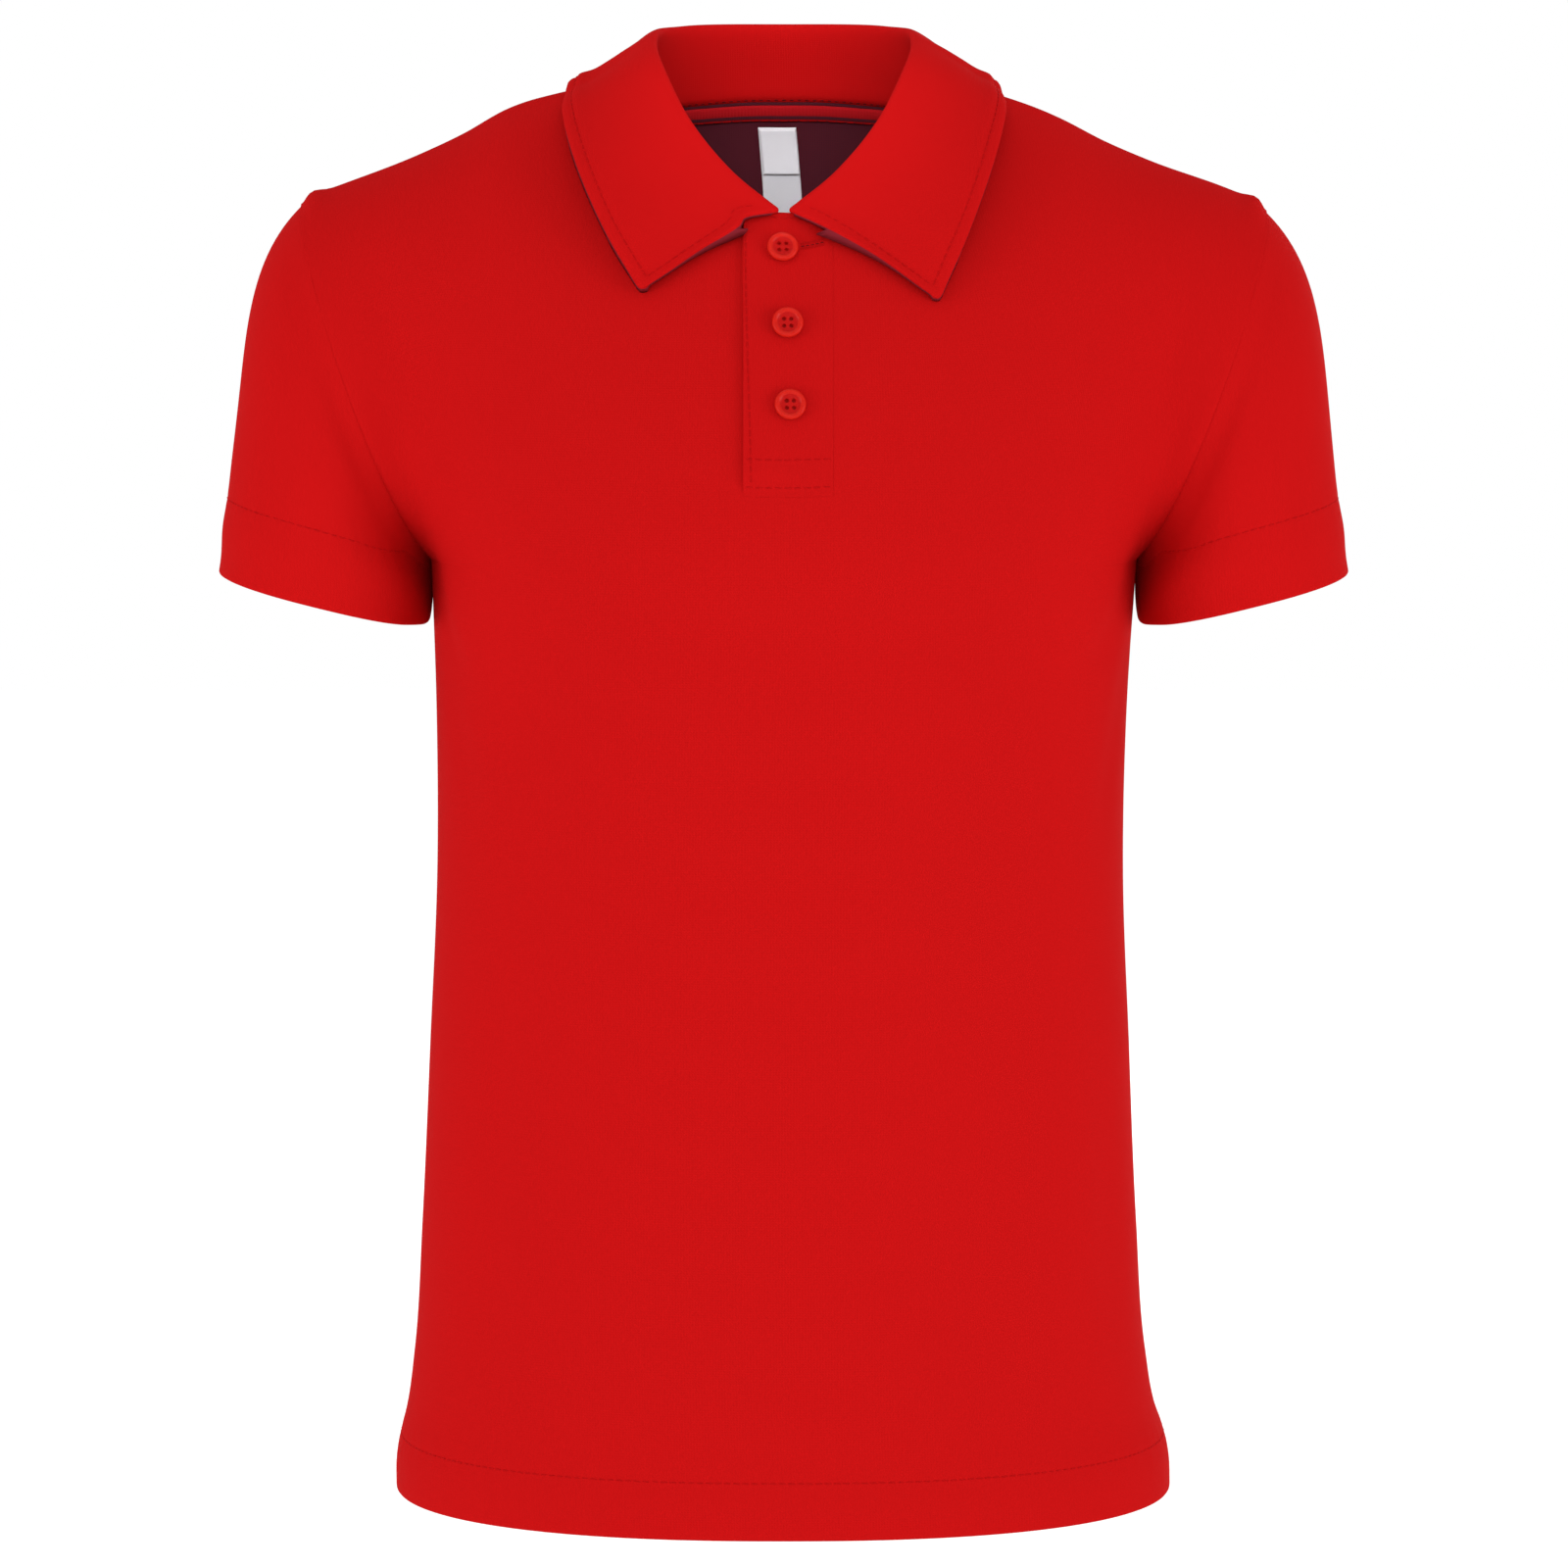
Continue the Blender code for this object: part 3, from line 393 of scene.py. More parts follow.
# corner numbers of a grid's squares, and of the rim where no square lies beyond. ring joins the last column
# to the first
def gridSquares(rows, columns, ring=False, keep=None):
    j, i = np.mgrid[0 : rows - 1, 0 : columns if ring else columns - 1]
    flat, wide = [], columns + 1
    for after, width in (((i + 1) % columns, columns), (i + 1, wide)):
        low, high = j * width, (j + 1) * width
        square = np.stack([low + i, low + after, high + after, high + i], -1)
        flat.append(square[np.ones(j.shape, bool) if keep is None else keep])
    starts, stops = flat[0].ravel(), np.roll(flat[0], -1, axis=1).ravel()
    many = rows * columns
    rim = ~np.isin(stops.astype(np.int64) * many + starts, starts.astype(np.int64) * many + stops)
    return [(square, square.ravel()[rim], np.roll(square, -1, axis=1).ravel()[rim]) for square in flat]


# a cloth wall: the outer face's grid, and an inner face behind it. The wall thins like a quarter circle where
# the distance from an edge is under `roundness`, so that each edge is round. inward moves the inner face
def clothWall(
    name, node, face, thickness, distance, roundness, materials,
    ring=False, keep=None, inward=0, rimFinish=0,
):
    facing = gridFace(face, ring)
    thickness = np.broadcast_to(thickness, distance.shape)
    near = np.clip(1 - distance / roundness, 0, 1)
    swell = np.sqrt(np.maximum(1 - near**2, 0.004))
    middle = face - facing * (thickness / 2)[..., None]
    half = facing * (thickness * swell / 2)[..., None]
    rows, columns = face.shape[:2]
    parts = []
    for (square, start, stop), behind in zip(gridSquares(rows, columns, ring, keep), (rows * columns, 0)):
        rim = np.stack([stop, start, start + behind, stop + behind], -1)
        parts.append(np.concatenate([square, square[:, ::-1] + behind, rim]))
    faces, uvPlaces = parts
    finish = np.zeros(len(faces), int)
    squares = int(np.sum(np.ones((rows - 1, columns if ring else columns - 1)) if keep is None else keep))
    finish[squares : 2 * squares] = min(len(materials) - 1, 1)
    finish[2 * squares :] = rimFinish
    points = np.concatenate([(middle + half).reshape(-1, 3), (middle - half + inward).reshape(-1, 3)])
    pattern = clothMap(np.concatenate([face, face[:, :1]], axis=1)).reshape(-1, 2)
    used, faces = np.unique(faces, return_inverse=True)
    faces = faces.reshape(-1, 4).tolist()
    piece = putMesh(name, points[used], faces, materials, pattern[uvPlaces.ravel()], finish)
    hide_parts(node)
    print(name, "is sewn,", len(faces), "faces")
    return piece


# soft creases: each moves the cloth by depth x exp(-(distance from its line / width)^2), less at its ends.
# Rows: from (a, b) to (a, b), bow of the line, width, depth (in is negative)
def creaseLift(a, b, rows):
    total = np.zeros(np.broadcast(a, b).shape)
    for a0, b0, a1, b1, bow, width, depth in rows:
        da, db = a1 - a0, b1 - b0
        length = math.hypot(da, db)
        t = ((a - a0) * da + (b - b0) * db) / length**2
        off = ((a - a0) * db - (b - b0) * da) / length - bow * (1 - (2 * t - 1) ** 2)
        fade = np.clip(1 - (2 * t - 1) ** 2, 0, 1) ** 1.5
        total += depth * bell(off, width) * fade
    return total


# puckers beside a seam: an uneven wave along it, which dies out within a few millimetres
def pucker(along, off, height, wave, reach):
    uneven = np.sin(2 * math.pi * along / wave + 1.7 * np.sin(2 * math.pi * along / (wave * 3.7)))
    return height * uneven * np.exp(-np.abs(off) / reach)


# a line of stitches: each is a small flattened bead, laid along the line on the cloth
def stitchLine(name, line, facing, material, length=0.0024, gap=0.0007, width=0.0005, rise=0.00022):
    run = columnRun(line)
    count = int(run[-1] / (length + gap))
    at = (np.arange(count) + 0.5) * run[-1] / count
    place, ahead = readAt(at, run, line), readAt(at + 0.0004, run, line)
    up = unit(readAt(at, run, facing))
    along = unit(ahead - place + 1e-9)
    across = unit(np.cross(up, along))
    rings = np.array([(-0.5, 0.25), (-0.42, 0.8), (0, 1.0), (0.42, 0.8), (0.5, 0.25)])
    turn = np.linspace(0, 2 * math.pi, 7)[:-1]
    bead = np.stack(
        [
            np.repeat(rings[:, 0] * length, 6),
            np.outer(rings[:, 1], np.cos(turn)).ravel() * width / 2,
            np.outer(rings[:, 1], np.sin(turn)).ravel() * rise + rise * 0.3,
        ],
        -1,
    )
    axes = np.stack([along, across, up], 1)
    points = place[:, None] + np.einsum("kc,ncd->nkd", bead, axes)
    sides = gridSquares(5, 6, ring=True)[0][0]
    ends = np.array([(3, 2, 1, 0), (5, 4, 3, 0), (24, 25, 26, 27), (24, 27, 28, 29)])
    bead = np.concatenate([sides, ends])
    faces = (bead[None] + 30 * np.arange(count)[:, None, None]).reshape(-1, 4)
    return putMesh(name, points.reshape(-1, 3), faces.tolist(), [material])


body = dict(
    hem=-0.482,
    chest=-0.165,
    squareness=0.87,  # 1 gives an ellipse, and less a squarer section
    seam=0.0003,
    sideSeam=-0.0002,  # the side edges lap a little, as they are sewn together
    # height, half width, front depth, back depth, shift of the middle to the side
    sections=(
        (-0.4820, 0.1324, 0.1040, 0.0990, -0.0003),
        (-0.4740, 0.1319, 0.1036, 0.0987, -0.0004),
        (-0.4625, 0.1303, 0.1026, 0.0980, -0.0006),
        (-0.4550, 0.1281, 0.1018, 0.0972, -0.0010),
        (-0.4350, 0.1249, 0.1007, 0.0960, -0.0014),
        (-0.3900, 0.1218, 0.0990, 0.0930, -0.0016),
        (-0.3300, 0.1190, 0.0975, 0.0890, -0.0015),
        (-0.2700, 0.1165, 0.0960, 0.0860, -0.0013),
        (-0.2150, 0.1170, 0.0965, 0.0890, -0.0008),
        (-0.1650, 0.1193, 0.0970, 0.0920, 0.0000),
    ),
    # shoulder seam: distance from the middle, height on the wearer's right and left
    shoulderLine=(
        (0.056, -0.0040, -0.0040),
        (0.076, -0.0084, -0.0102),
        (0.094, -0.0140, -0.0172),
        (0.108, -0.0218, -0.0243),
        (0.123, -0.0288, -0.0307),
        (0.152, -0.0399, -0.0412),
        (0.163, -0.0440, -0.0462),
    ),
    shoulderDepth=-0.005,
    neckDepth={-1: -0.054, 1: 0.048},  # of the neckline, in front and behind
    # height where the cloth would end over the middle with no neckline cut: distance from it, front, back
    uncutTop=((0.000, -0.0060, 0.0120), (0.040, -0.0020, 0.0040), (0.056, -0.0040, -0.0040)),
    # share of the way to the side, then out, deep, up of how the cloth leaves the chest and meets its top
    rise={
        -1: (
            (0.000, 0.0000, 0.0000, 0.0600, 0.0000, 0.0440, -0.0160),
            (0.275, 0.0000, 0.0000, 0.0560, 0.0000, 0.0400, -0.0140),
            (0.650, 0.0040, 0.0080, 0.0480, 0.0010, 0.0530, -0.0190),
            (0.850, 0.0090, 0.0300, 0.0280, -0.0010, 0.0580, -0.0160),
            (1.000, 0.0107, 0.0680, 0.0110, -0.0010, 0.0600, -0.0170),
        ),
        1: (
            (0.000, 0.0000, 0.0000, 0.1000, 0.0000, 0.0560, 0.0110),
            (0.140, 0.0000, 0.0000, 0.0860, 0.0000, 0.0540, 0.0035),
            (0.275, 0.0000, 0.0000, 0.0560, 0.0000, 0.0480, -0.0150),
            (0.650, 0.0040, 0.0080, 0.0480, 0.0010, 0.0580, -0.0140),
            (0.850, 0.0090, 0.0300, 0.0280, -0.0010, 0.0610, -0.0150),
            (1.000, 0.0107, 0.0670, 0.0110, -0.0010, 0.0620, -0.0170),
        ),
    },
    wall=0.0010,
    hemWall=0.0020,
    hemHeight=0.0195,
    hemStep=0.0012,
    hemGroove=(-0.00016, 0.0011),  # depth and width
    creaseWidth=0.178,  # half a panel's width along the cloth, where creases are measured
)
neckHalfWidth, shoulderHalfWidth = body["shoulderLine"][0][0], body["shoulderLine"][-1][0]


# a level section: x = half width x sin^p, y = depth x cos^p of the way round, p being the squareness
def section(side, across, height):
    halfWidth, front, back, shift = np.moveaxis(lookUp(body["sections"], height), -1, 0)
    angle = np.abs(across) * math.pi / 2
    power, halfGap = body["squareness"], body["sideSeam"] / 2
    x = shift + np.sign(across) * halfWidth * np.sin(angle) ** power
    y = side * (halfGap + ((front if side < 0 else back) - halfGap) * np.maximum(np.cos(angle), 0) ** power)
    return np.stack([x, y, height + 0 * x], -1)


# the share of the way to the side seam at which the chest is x wide
def acrossAt(x):
    share = np.abs(x) / body["sections"][-1][1]
    return np.sign(x) * np.arcsin(share ** (1 / body["squareness"])) / (math.pi / 2)


neckAcross = acrossAt(neckHalfWidth)


# each column's Bezier curve above the chest, up to the shoulder seam or the uncut middle
def riseOf(side, across):
    share = np.abs(across)
    onShoulder = np.clip((share - neckAcross) / (1 - neckAcross), 0, 1)
    xShoulder = neckHalfWidth + onShoulder * (shoulderHalfWidth - neckHalfWidth)
    right, left = np.moveaxis(lookUp(body["shoulderLine"], xShoulder), -1, 0)
    chest = section(side, across, np.full(across.shape, body["chest"]))
    xMiddle = np.abs(chest[..., 0])
    zMiddle = lookUp(reflected(body["uncutTop"]), xMiddle)[..., 0 if side < 0 else 1]
    inMiddle = share < neckAcross
    x = np.sign(across) * np.where(inMiddle, xMiddle, xShoulder)
    z = np.where(inMiddle, zMiddle, np.where(across < 0, right, left))
    top = np.stack([x, np.full(across.shape, body["shoulderDepth"] + side * body["seam"] / 2), z], -1)
    outward = np.stack([np.sign(across), np.full(across.shape, side), np.ones(across.shape)], -1)
    rise = lookUp(reflected(body["rise"][side]), share)
    return chest, chest + rise[..., :3] * outward, top + rise[..., 3:] * outward, top


# where each column crosses the neckline, an ellipse from above, found by halving
def necklineAt(side, across):
    x = section(side, across, np.full(across.shape, body["chest"]))[..., 0]
    dip = np.sqrt(np.maximum(1 - (x / neckHalfWidth) ** 2, 0))
    neckY = body["shoulderDepth"] + dip * (body["neckDepth"][side] - body["shoulderDepth"])
    ways = riseOf(side, across)
    low, high = np.full(across.shape, 0.3), np.ones(across.shape)
    for _ in range(24):
        half = (low + high) / 2
        past = (bezier(*ways, half)[..., 1] - neckY) * side < 0
        low, high = np.where(past, low, half), np.where(past, half, high)
    return np.where(np.abs(across) < neckAcross - 1e-9, high, 1.0)


# a panel's outer face: up is -1 at the hem, 0 at the chest and 1 at the shoulder seam and neckline
def panelAt(side, across, up):
    across, up = np.broadcast_arrays(np.asarray(across, float), np.asarray(up, float))
    columns, place = np.unique(across, return_inverse=True)
    place = place.reshape(across.shape)
    low = section(side, across, body["chest"] + np.minimum(up, 0) * (body["chest"] - body["hem"]))
    ways = [way[place] for way in riseOf(side, columns)]
    high = bezier(*ways, np.maximum(up, 0) * necklineAt(side, columns)[place])
    return np.where(up[..., None] < 0, low, high)


def panelFace(side, across, up, step=1e-3):
    across, up = np.broadcast_arrays(np.asarray(across, float), np.asarray(up, float))
    hand = np.where(across < 0, -1, 1)
    share = np.abs(across)
    onNeck = share < neckAcross - 1e-6
    outer = np.minimum(share + step, np.where(onNeck, neckAcross, 1))
    inner = np.where(onNeck, share - step, np.maximum(share - step, neckAcross))
    right = (panelAt(side, hand * outer, up) - panelAt(side, hand * inner, up)) * hand[..., None]
    rise = panelAt(side, across, np.minimum(up + step, 1)) - panelAt(side, across, np.maximum(up - step, -1))
    return unit(np.cross(right, rise)) * -side


def upAt(side, across, height):
    ups = np.linspace(0, 1, 400)
    return np.interp(height, panelAt(side, across, ups)[:, 2], ups)


def upBelowNeck(side, across, distance):
    pace = np.linalg.norm(panelAt(side, across, 1.0) - panelAt(side, across, 0.95), axis=-1) / 0.05
    return 1 - distance / pace


# a grid read at fractional rows and columns
def gridPoint(grid, row, column):
    row, column = np.broadcast_arrays(np.asarray(row, float), np.asarray(column, float))
    j = np.clip(row.astype(int), 0, grid.shape[0] - 2)
    i = np.clip(column.astype(int), 0, grid.shape[1] - 2)
    v, u = (row - j)[..., None], (column - i)[..., None]
    low = grid[j, i] * (1 - u) + grid[j, i + 1] * u
    return low * (1 - v) + (grid[j + 1, i] * (1 - u) + grid[j + 1, i + 1] * u) * v


placket = dict(
    left=-0.0118,  # the opening in the front
    right=0.0156,
    foot=-0.1400,
    overlap=0.0014,  # of each strip's free edge past the opening
    lift=0.0019,  # from one strip's face to the other's
    wall=0.0015,
    lip=0.0005,  # of the upper strip over the front at its seam and foot, and its height there
    lipHeight=0.00008,
    topGap={True: 0.0008, False: 0.0026},  # below the neckline, of the upper and the under strip
    corner=(0.0090, 0.0085),  # width and height of the upper strip's rounded free corner
    stitchFromEdge=0.0026,
    footRows=(0.0030, 0.0122),  # of stitches, above the upper strip's foot
)

# creases: from (across, height), to (across, height), bow, width, depth. Across is measured along the cloth
bodyCreases = {
    -1: (
        (-0.165, -0.150, -0.105, -0.215, 0.006, 0.0075, -0.0011),
        (-0.160, -0.175, -0.110, -0.262, -0.005, 0.0095, -0.0008),
        (0.163, -0.152, 0.100, -0.205, -0.006, 0.0080, -0.0012),
        (0.168, -0.180, 0.122, -0.275, 0.006, 0.0090, -0.0007),
        (-0.150, -0.052, -0.118, -0.150, 0.007, 0.0085, -0.0010),
        (0.150, -0.052, 0.120, -0.158, -0.007, 0.0080, -0.0009),
        (-0.085, -0.290, -0.098, -0.455, 0.004, 0.0140, -0.0012),
        (-0.030, -0.350, -0.034, -0.476, -0.003, 0.0130, -0.0008),
        (0.052, -0.330, 0.058, -0.474, 0.004, 0.0150, -0.0011),
        (0.118, -0.300, 0.124, -0.452, -0.004, 0.0120, -0.0009),
        (0.020, -0.180, 0.046, -0.262, 0.008, 0.0120, -0.0005),
        (-0.052, -0.120, -0.030, -0.212, -0.008, 0.0110, -0.0005),
    ),
    1: (
        (-0.163, -0.148, -0.096, -0.220, 0.007, 0.0085, -0.0012),
        (0.165, -0.156, 0.108, -0.236, -0.006, 0.0080, -0.0011),
        (-0.150, -0.060, -0.112, -0.150, 0.006, 0.0090, -0.0009),
        (0.148, -0.058, 0.117, -0.146, -0.006, 0.0085, -0.0010),
        (-0.070, -0.300, -0.078, -0.462, 0.004, 0.0150, -0.0013),
        (0.004, -0.340, 0.000, -0.470, -0.004, 0.0130, -0.0008),
        (0.064, -0.310, 0.074, -0.455, 0.003, 0.0140, -0.0012),
        (0.124, -0.330, 0.120, -0.440, -0.003, 0.0110, -0.0008),
        (-0.040, -0.062, 0.040, -0.066, -0.006, 0.0110, -0.0006),
    ),
}


def bodyColumns():
    shoulder = neckAcross + (1 - neckAcross) * spacing(0.125, 0.0021)
    halves = []
    for edge in (placket["right"], -placket["left"]):
        turns = np.linspace(math.asin(edge / neckHalfWidth), math.pi / 2, 27)[:-1]
        beyond = acrossAt(neckHalfWidth * np.sin(turns))
        inside = acrossAt(edge * np.linspace(0, 1, 7)[1:-1])
        close = acrossAt(edge + np.array([-0.0012, -0.0005, 0.0005, 0.0012]))
        halves.append(np.unique(np.concatenate([inside, beyond, close])))
    return np.concatenate([-shoulder[::-1], -halves[1][::-1], [0.0], halves[0], shoulder])


def bodyPanel(side, name):
    low = body["chest"] - body["hem"]
    step = np.array([-1, -0.4, 0.4, 1]) * body["hemStep"] / 2
    lower = np.unique(np.concatenate([spacing(low, 0.0027) * low, body["hemHeight"] + step])) / low - 1
    foot = upAt(-1, 0.0, placket["foot"])
    upper = np.linspace(0, 1, 74)[1:-1]
    upper = upper[np.abs(upper - foot) > 0.006]
    nearFoot, nearTop = foot + np.array([-0.003, 0, 0.003]), 1 - np.array([0.009, 0.004, 0.0015, 0])
    upper = np.unique(np.concatenate([upper, nearFoot, nearTop]))
    ups = np.concatenate([lower[lower < 0], [0.0], upper])
    across, up = np.meshgrid(bodyColumns()[::-side], ups)
    face = panelAt(side, across, up)
    run, sideways = columnRun(face), rowRun(face)
    toSide, toTop = fromEnds(sideways, 1), run[-1] - run
    distance = np.minimum(fromEnds(run, 0), toSide + np.where(up > 0, 1, 0))
    lift = creaseLift(across * body["creaseWidth"], face[..., 2], bodyCreases[side])
    # the hem: a groove at its stitches, small puckers beside them, and a soft swell below
    off = run - body["hemHeight"] + 0.0004
    fade = np.clip(toSide / 0.006, 0, 1)
    along = sideways - sideways[:, sideways.shape[1] // 2][:, None]
    groove, grooveWidth = body["hemGroove"]
    lift += groove * bell(off, grooveWidth) + pucker(along, off, 0.00016, 0.0085, 0.0035) * fade
    lift += 0.0005 * bell(run - 0.010, 0.007)
    lift *= smooth(toTop / 0.006)
    # the side seams roll in a little
    lift -= 0.0002 * bell(toSide, 0.0014) * (up < 0)
    # the sewn corner at the shoulder point is a small round bump that turns down to the sleeve
    corner = 0.0014 * bell(toSide - 0.0056, 0.0036)
    corner = corner - 0.0015 * bell(toSide, 0.0024)
    corner = corner * bell(toTop, 0.016) * (up > 0)
    # the shoulder seam is a soft ridge beside the collar
    besideCollar = bell(np.abs(face[..., 0]) - 0.083, 0.011)
    ridge = 0.0007 * bell(toTop - 0.0028, 0.0024) * besideCollar
    face = face + gridFace(face) * (lift + corner + ridge * (side < 0))[..., None]
    thicker = body["hemWall"] - body["wall"]
    wall = body["wall"] + thicker * smooth((body["hemHeight"] - run) / body["hemStep"] + 0.5)
    wall = wall + np.maximum(corner, 0) * 0.9
    roundness = np.where(run < 0.002, 0.0010, 0.0006)
    keep = None
    if side < 0:
        footRow = int(np.argmin(np.abs(ups - foot)))
        edges = acrossAt(np.array([placket["left"], placket["right"]]))
        left, right = np.argmin(np.abs(across[0] - edges[:, None]), axis=1)
        keep = np.ones((len(ups) - 1, across.shape[1] - 1), bool)
        keep[footRow:, left:right] = False
    # the inner faces take the painted shade colour of the inside
    knits = [bodyKnit, insideShadeKnit]
    return clothWall(name + "Panel", name, face, wall, distance, roundness, knits, keep=keep), face


front, frontFace = bodyPanel(-1, "front")
back, backFace = bodyPanel(1, "back")


# ease of the sleeve: turn from shoulder point (0) to underarm (1), how it leaves the armhole (out, deep, up),
# the length over which it straightens, and how far its edge lies below the panel's
sleeveCut = dict(
    leave=(
        (0.00, 0.0290, 0.0000, -0.0270, 0.0500, 0.0020),
        (0.25, 0.0240, 0.0050, -0.0290, 0.0440, 0.0000),
        (0.50, 0.0150, 0.0040, -0.0270, 0.0300, 0.0000),
        (0.75, 0.0070, 0.0030, -0.0160, 0.0160, 0.0000),
        (1.00, 0.0006, 0.0000, -0.0070, 0.0070, 0.0000),
    ),
    cuffCentre=(0.1558, 0.0010, -0.1782),
    cuffHalf=(0.0362, 0.0490),
    squareness=(0.84, 0.78),  # on its outer half and on its inner one
    lean=14,  # degrees, of the arm away from the body
    frontDrop=0.020,
    fullValley=0.4,
    seam=-0.0002,  # the sleeve's edge is tucked under the panel's
    hem=0.0257,
    mostHem=0.8,
    hemStep=0.0012,
    hemGroove=(-0.00014, 0.0010),  # depth and width
    turnWidth=0.16,  # half of the way round, where creases are measured
    swell={1: 0.0008, -1: 0.0016},  # of the outer side above the cuff, on the wearer's left and right
    wall=0.0010,
    hemWall=0.0020,
)
# creases: from (metres round from the shoulder point, metres from the armhole seam), to the same, bow, width,
# depth
sleeveCreases = {
    1: (
        (0.150, 0.010, 0.110, 0.066, 0.004, 0.0070, -0.0010),
        (0.135, 0.004, 0.080, 0.052, -0.004, 0.0060, -0.0009),
        (0.052, 0.016, 0.046, 0.070, 0.003, 0.0080, -0.0006),
        (0.185, 0.006, 0.222, 0.060, -0.004, 0.0065, -0.0010),
        (0.262, 0.016, 0.270, 0.072, 0.003, 0.0085, -0.0006),
    ),
    -1: (
        (0.152, 0.012, 0.104, 0.070, 0.004, 0.0065, -0.0011),
        (0.130, 0.006, 0.086, 0.048, -0.004, 0.0065, -0.0008),
        (0.060, 0.020, 0.050, 0.074, 0.003, 0.0085, -0.0006),
        (0.180, 0.006, 0.214, 0.064, -0.004, 0.0070, -0.0010),
        (0.250, 0.014, 0.262, 0.068, 0.003, 0.0080, -0.0006),
    ),
}


# the sleeve's first points and the way it leaves, worked out as on the wearer's left
def armhole(hand, turn):
    mirror = np.array([hand, 1, 1])
    up = np.where(turn <= 1, 1 - turn, turn - 1)
    behind = np.where(turn % 1 == 0, 0.5, (turn > 1) * 1.0)[:, None]
    at = np.full(turn.shape, float(hand))
    edge = (panelAt(-1, at, up) * (1 - behind) + panelAt(1, at, up) * behind) * mirror
    facing = unit(panelFace(-1, at, up) * (1 - behind) + panelFace(1, at, up) * behind) * mirror
    half = np.where(turn <= 1, turn, 2 - turn)
    towards = np.where(turn <= 1, -1.0, 1.0)
    out, deep, rise, _, under = np.moveaxis(lookUp(sleeveCut["leave"], half), -1, 0)
    leave = np.stack([out, deep * towards, rise], -1)
    roundIt = unit(np.roll(edge, -1, axis=0) - np.roll(edge, 1, axis=0))
    sleeveFacing = unit(np.cross(roundIt, leave))
    away = unit(leave - roundIt * (leave * roundIt).sum(-1, keepdims=True))
    valley = np.clip((facing * away).sum(-1) / sleeveCut["fullValley"], 0, 1)[:, None]
    mitre = unit(facing + sleeveFacing + 1e-9)
    panelCut = unit(mitre * (1 - valley) + facing * valley)
    start = edge + sleeveCut["seam"] * unit(away * (1 - valley) + facing * valley) - panelCut * under[:, None]
    return start, leave


def sleevePiece(hand, name, node):
    half = np.linspace(0, 1, 81)[:-1]
    turn = np.concatenate([1 + half, half])
    start, leave = armhole(hand, turn)
    share = np.where(turn <= 1, turn, 2 - turn)
    angle, towards = share * math.pi, np.where(turn <= 1, -1.0, 1.0)
    lean = math.radians(sleeveCut["lean"])
    widthways = np.array([math.cos(lean), 0, math.sin(lean)])
    deepways = np.array([0, 1, sleeveCut["frontDrop"]])
    alongArm = -unit(np.cross(widthways, deepways))
    wide, deep = sleeveCut["cuffHalf"]
    # the cuff is a little squarer than an ellipse
    square = np.where(np.cos(angle) > 0, *sleeveCut["squareness"])
    across = np.sign(np.cos(angle)) * np.abs(np.cos(angle)) ** square
    end = np.array(sleeveCut["cuffCentre"]) + wide * across[:, None] * widthways
    end = end + deep * (towards * np.maximum(np.sin(angle), 1e-9) ** square)[:, None] * deepways
    straighten = lookUp(sleeveCut["leave"], share)[:, 3:4]
    fine = np.linspace(0, 1, 400)
    ways = [way[None] for way in (start, start + leave, end - straighten * alongArm, end)]
    line = bezier(*ways, fine[:, None] + 0 * turn)
    run = columnRun(line)
    whole = run[-1]
    hem = np.minimum(sleeveCut["hem"], whole * sleeveCut["mostHem"])
    above = spacing(0.085, 0.0021)
    below = spacing(0.022, 0.0016, ends=(0.0002, 0.0006, 0.0013))
    steps = np.concatenate([above[:-1, None] * (whole - hem), (whole - hem) + below[:, None] * hem])
    at = np.stack([np.interp(steps[:, k], run[:, k], fine) for k in range(len(turn))], 1)
    face = bezier(*ways, at)
    toCuff, around = whole - steps, turn * sleeveCut["turnWidth"] + 0 * steps
    lift = creaseLift(around, steps, sleeveCreases[hand])
    # a trough beside the armhole seam, deepest in front and behind
    lift -= 0.0011 * bell(steps - 0.007, 0.0050) * np.sin(angle) ** 2 * smooth(whole / 0.05)
    # the hem: a groove at its stitches, puckers beside them, and a swell below
    off = toCuff - hem
    groove, grooveWidth = sleeveCut["hemGroove"]
    lift += groove * bell(off, grooveWidth) + pucker(around, off, 0.00012, 0.0070, 0.0035)
    lift += 0.0009 * bell(toCuff - hem * 0.60, 0.008) * smooth(whole / 0.045)
    outerSide = np.cos(angle / 2) ** 6
    lift += sleeveCut["swell"][hand] * outerSide * bell(toCuff - 0.030, 0.026)
    lift *= smooth(steps / 0.003)
    face = (face + gridFace(face, True) * lift[..., None]) * (hand, 1, 1)
    thicker = sleeveCut["hemWall"] - sleeveCut["wall"]
    wall = sleeveCut["wall"] + thicker * smooth((hem - toCuff) / sleeveCut["hemStep"] + 0.5)
    if hand < 0:
        face, wall, toCuff = face[:, ::-1], wall[:, ::-1], toCuff[:, ::-1]
    # the inner faces take the painted shade colour of the inside
    piece = clothWall(name, node, face, wall, toCuff, 0.0010, [bodyKnit, insideShadeKnit], ring=True)
    return piece, face, len(above) - 1


sleeveLeft, leftFace, leftHemRow = sleevePiece(1, "leftSleeve", "sleeve_left")
sleeveRight, rightFace, rightHemRow = sleevePiece(-1, "rightSleeve", "sleeve_right")


# how far the upper strip's face is lifted: none at its seam, most at its free edge
def stripLift(x):
    free = placket["left"] - placket["overlap"]
    return placket["lift"] * (placket["right"] - x) / (placket["right"] - free)


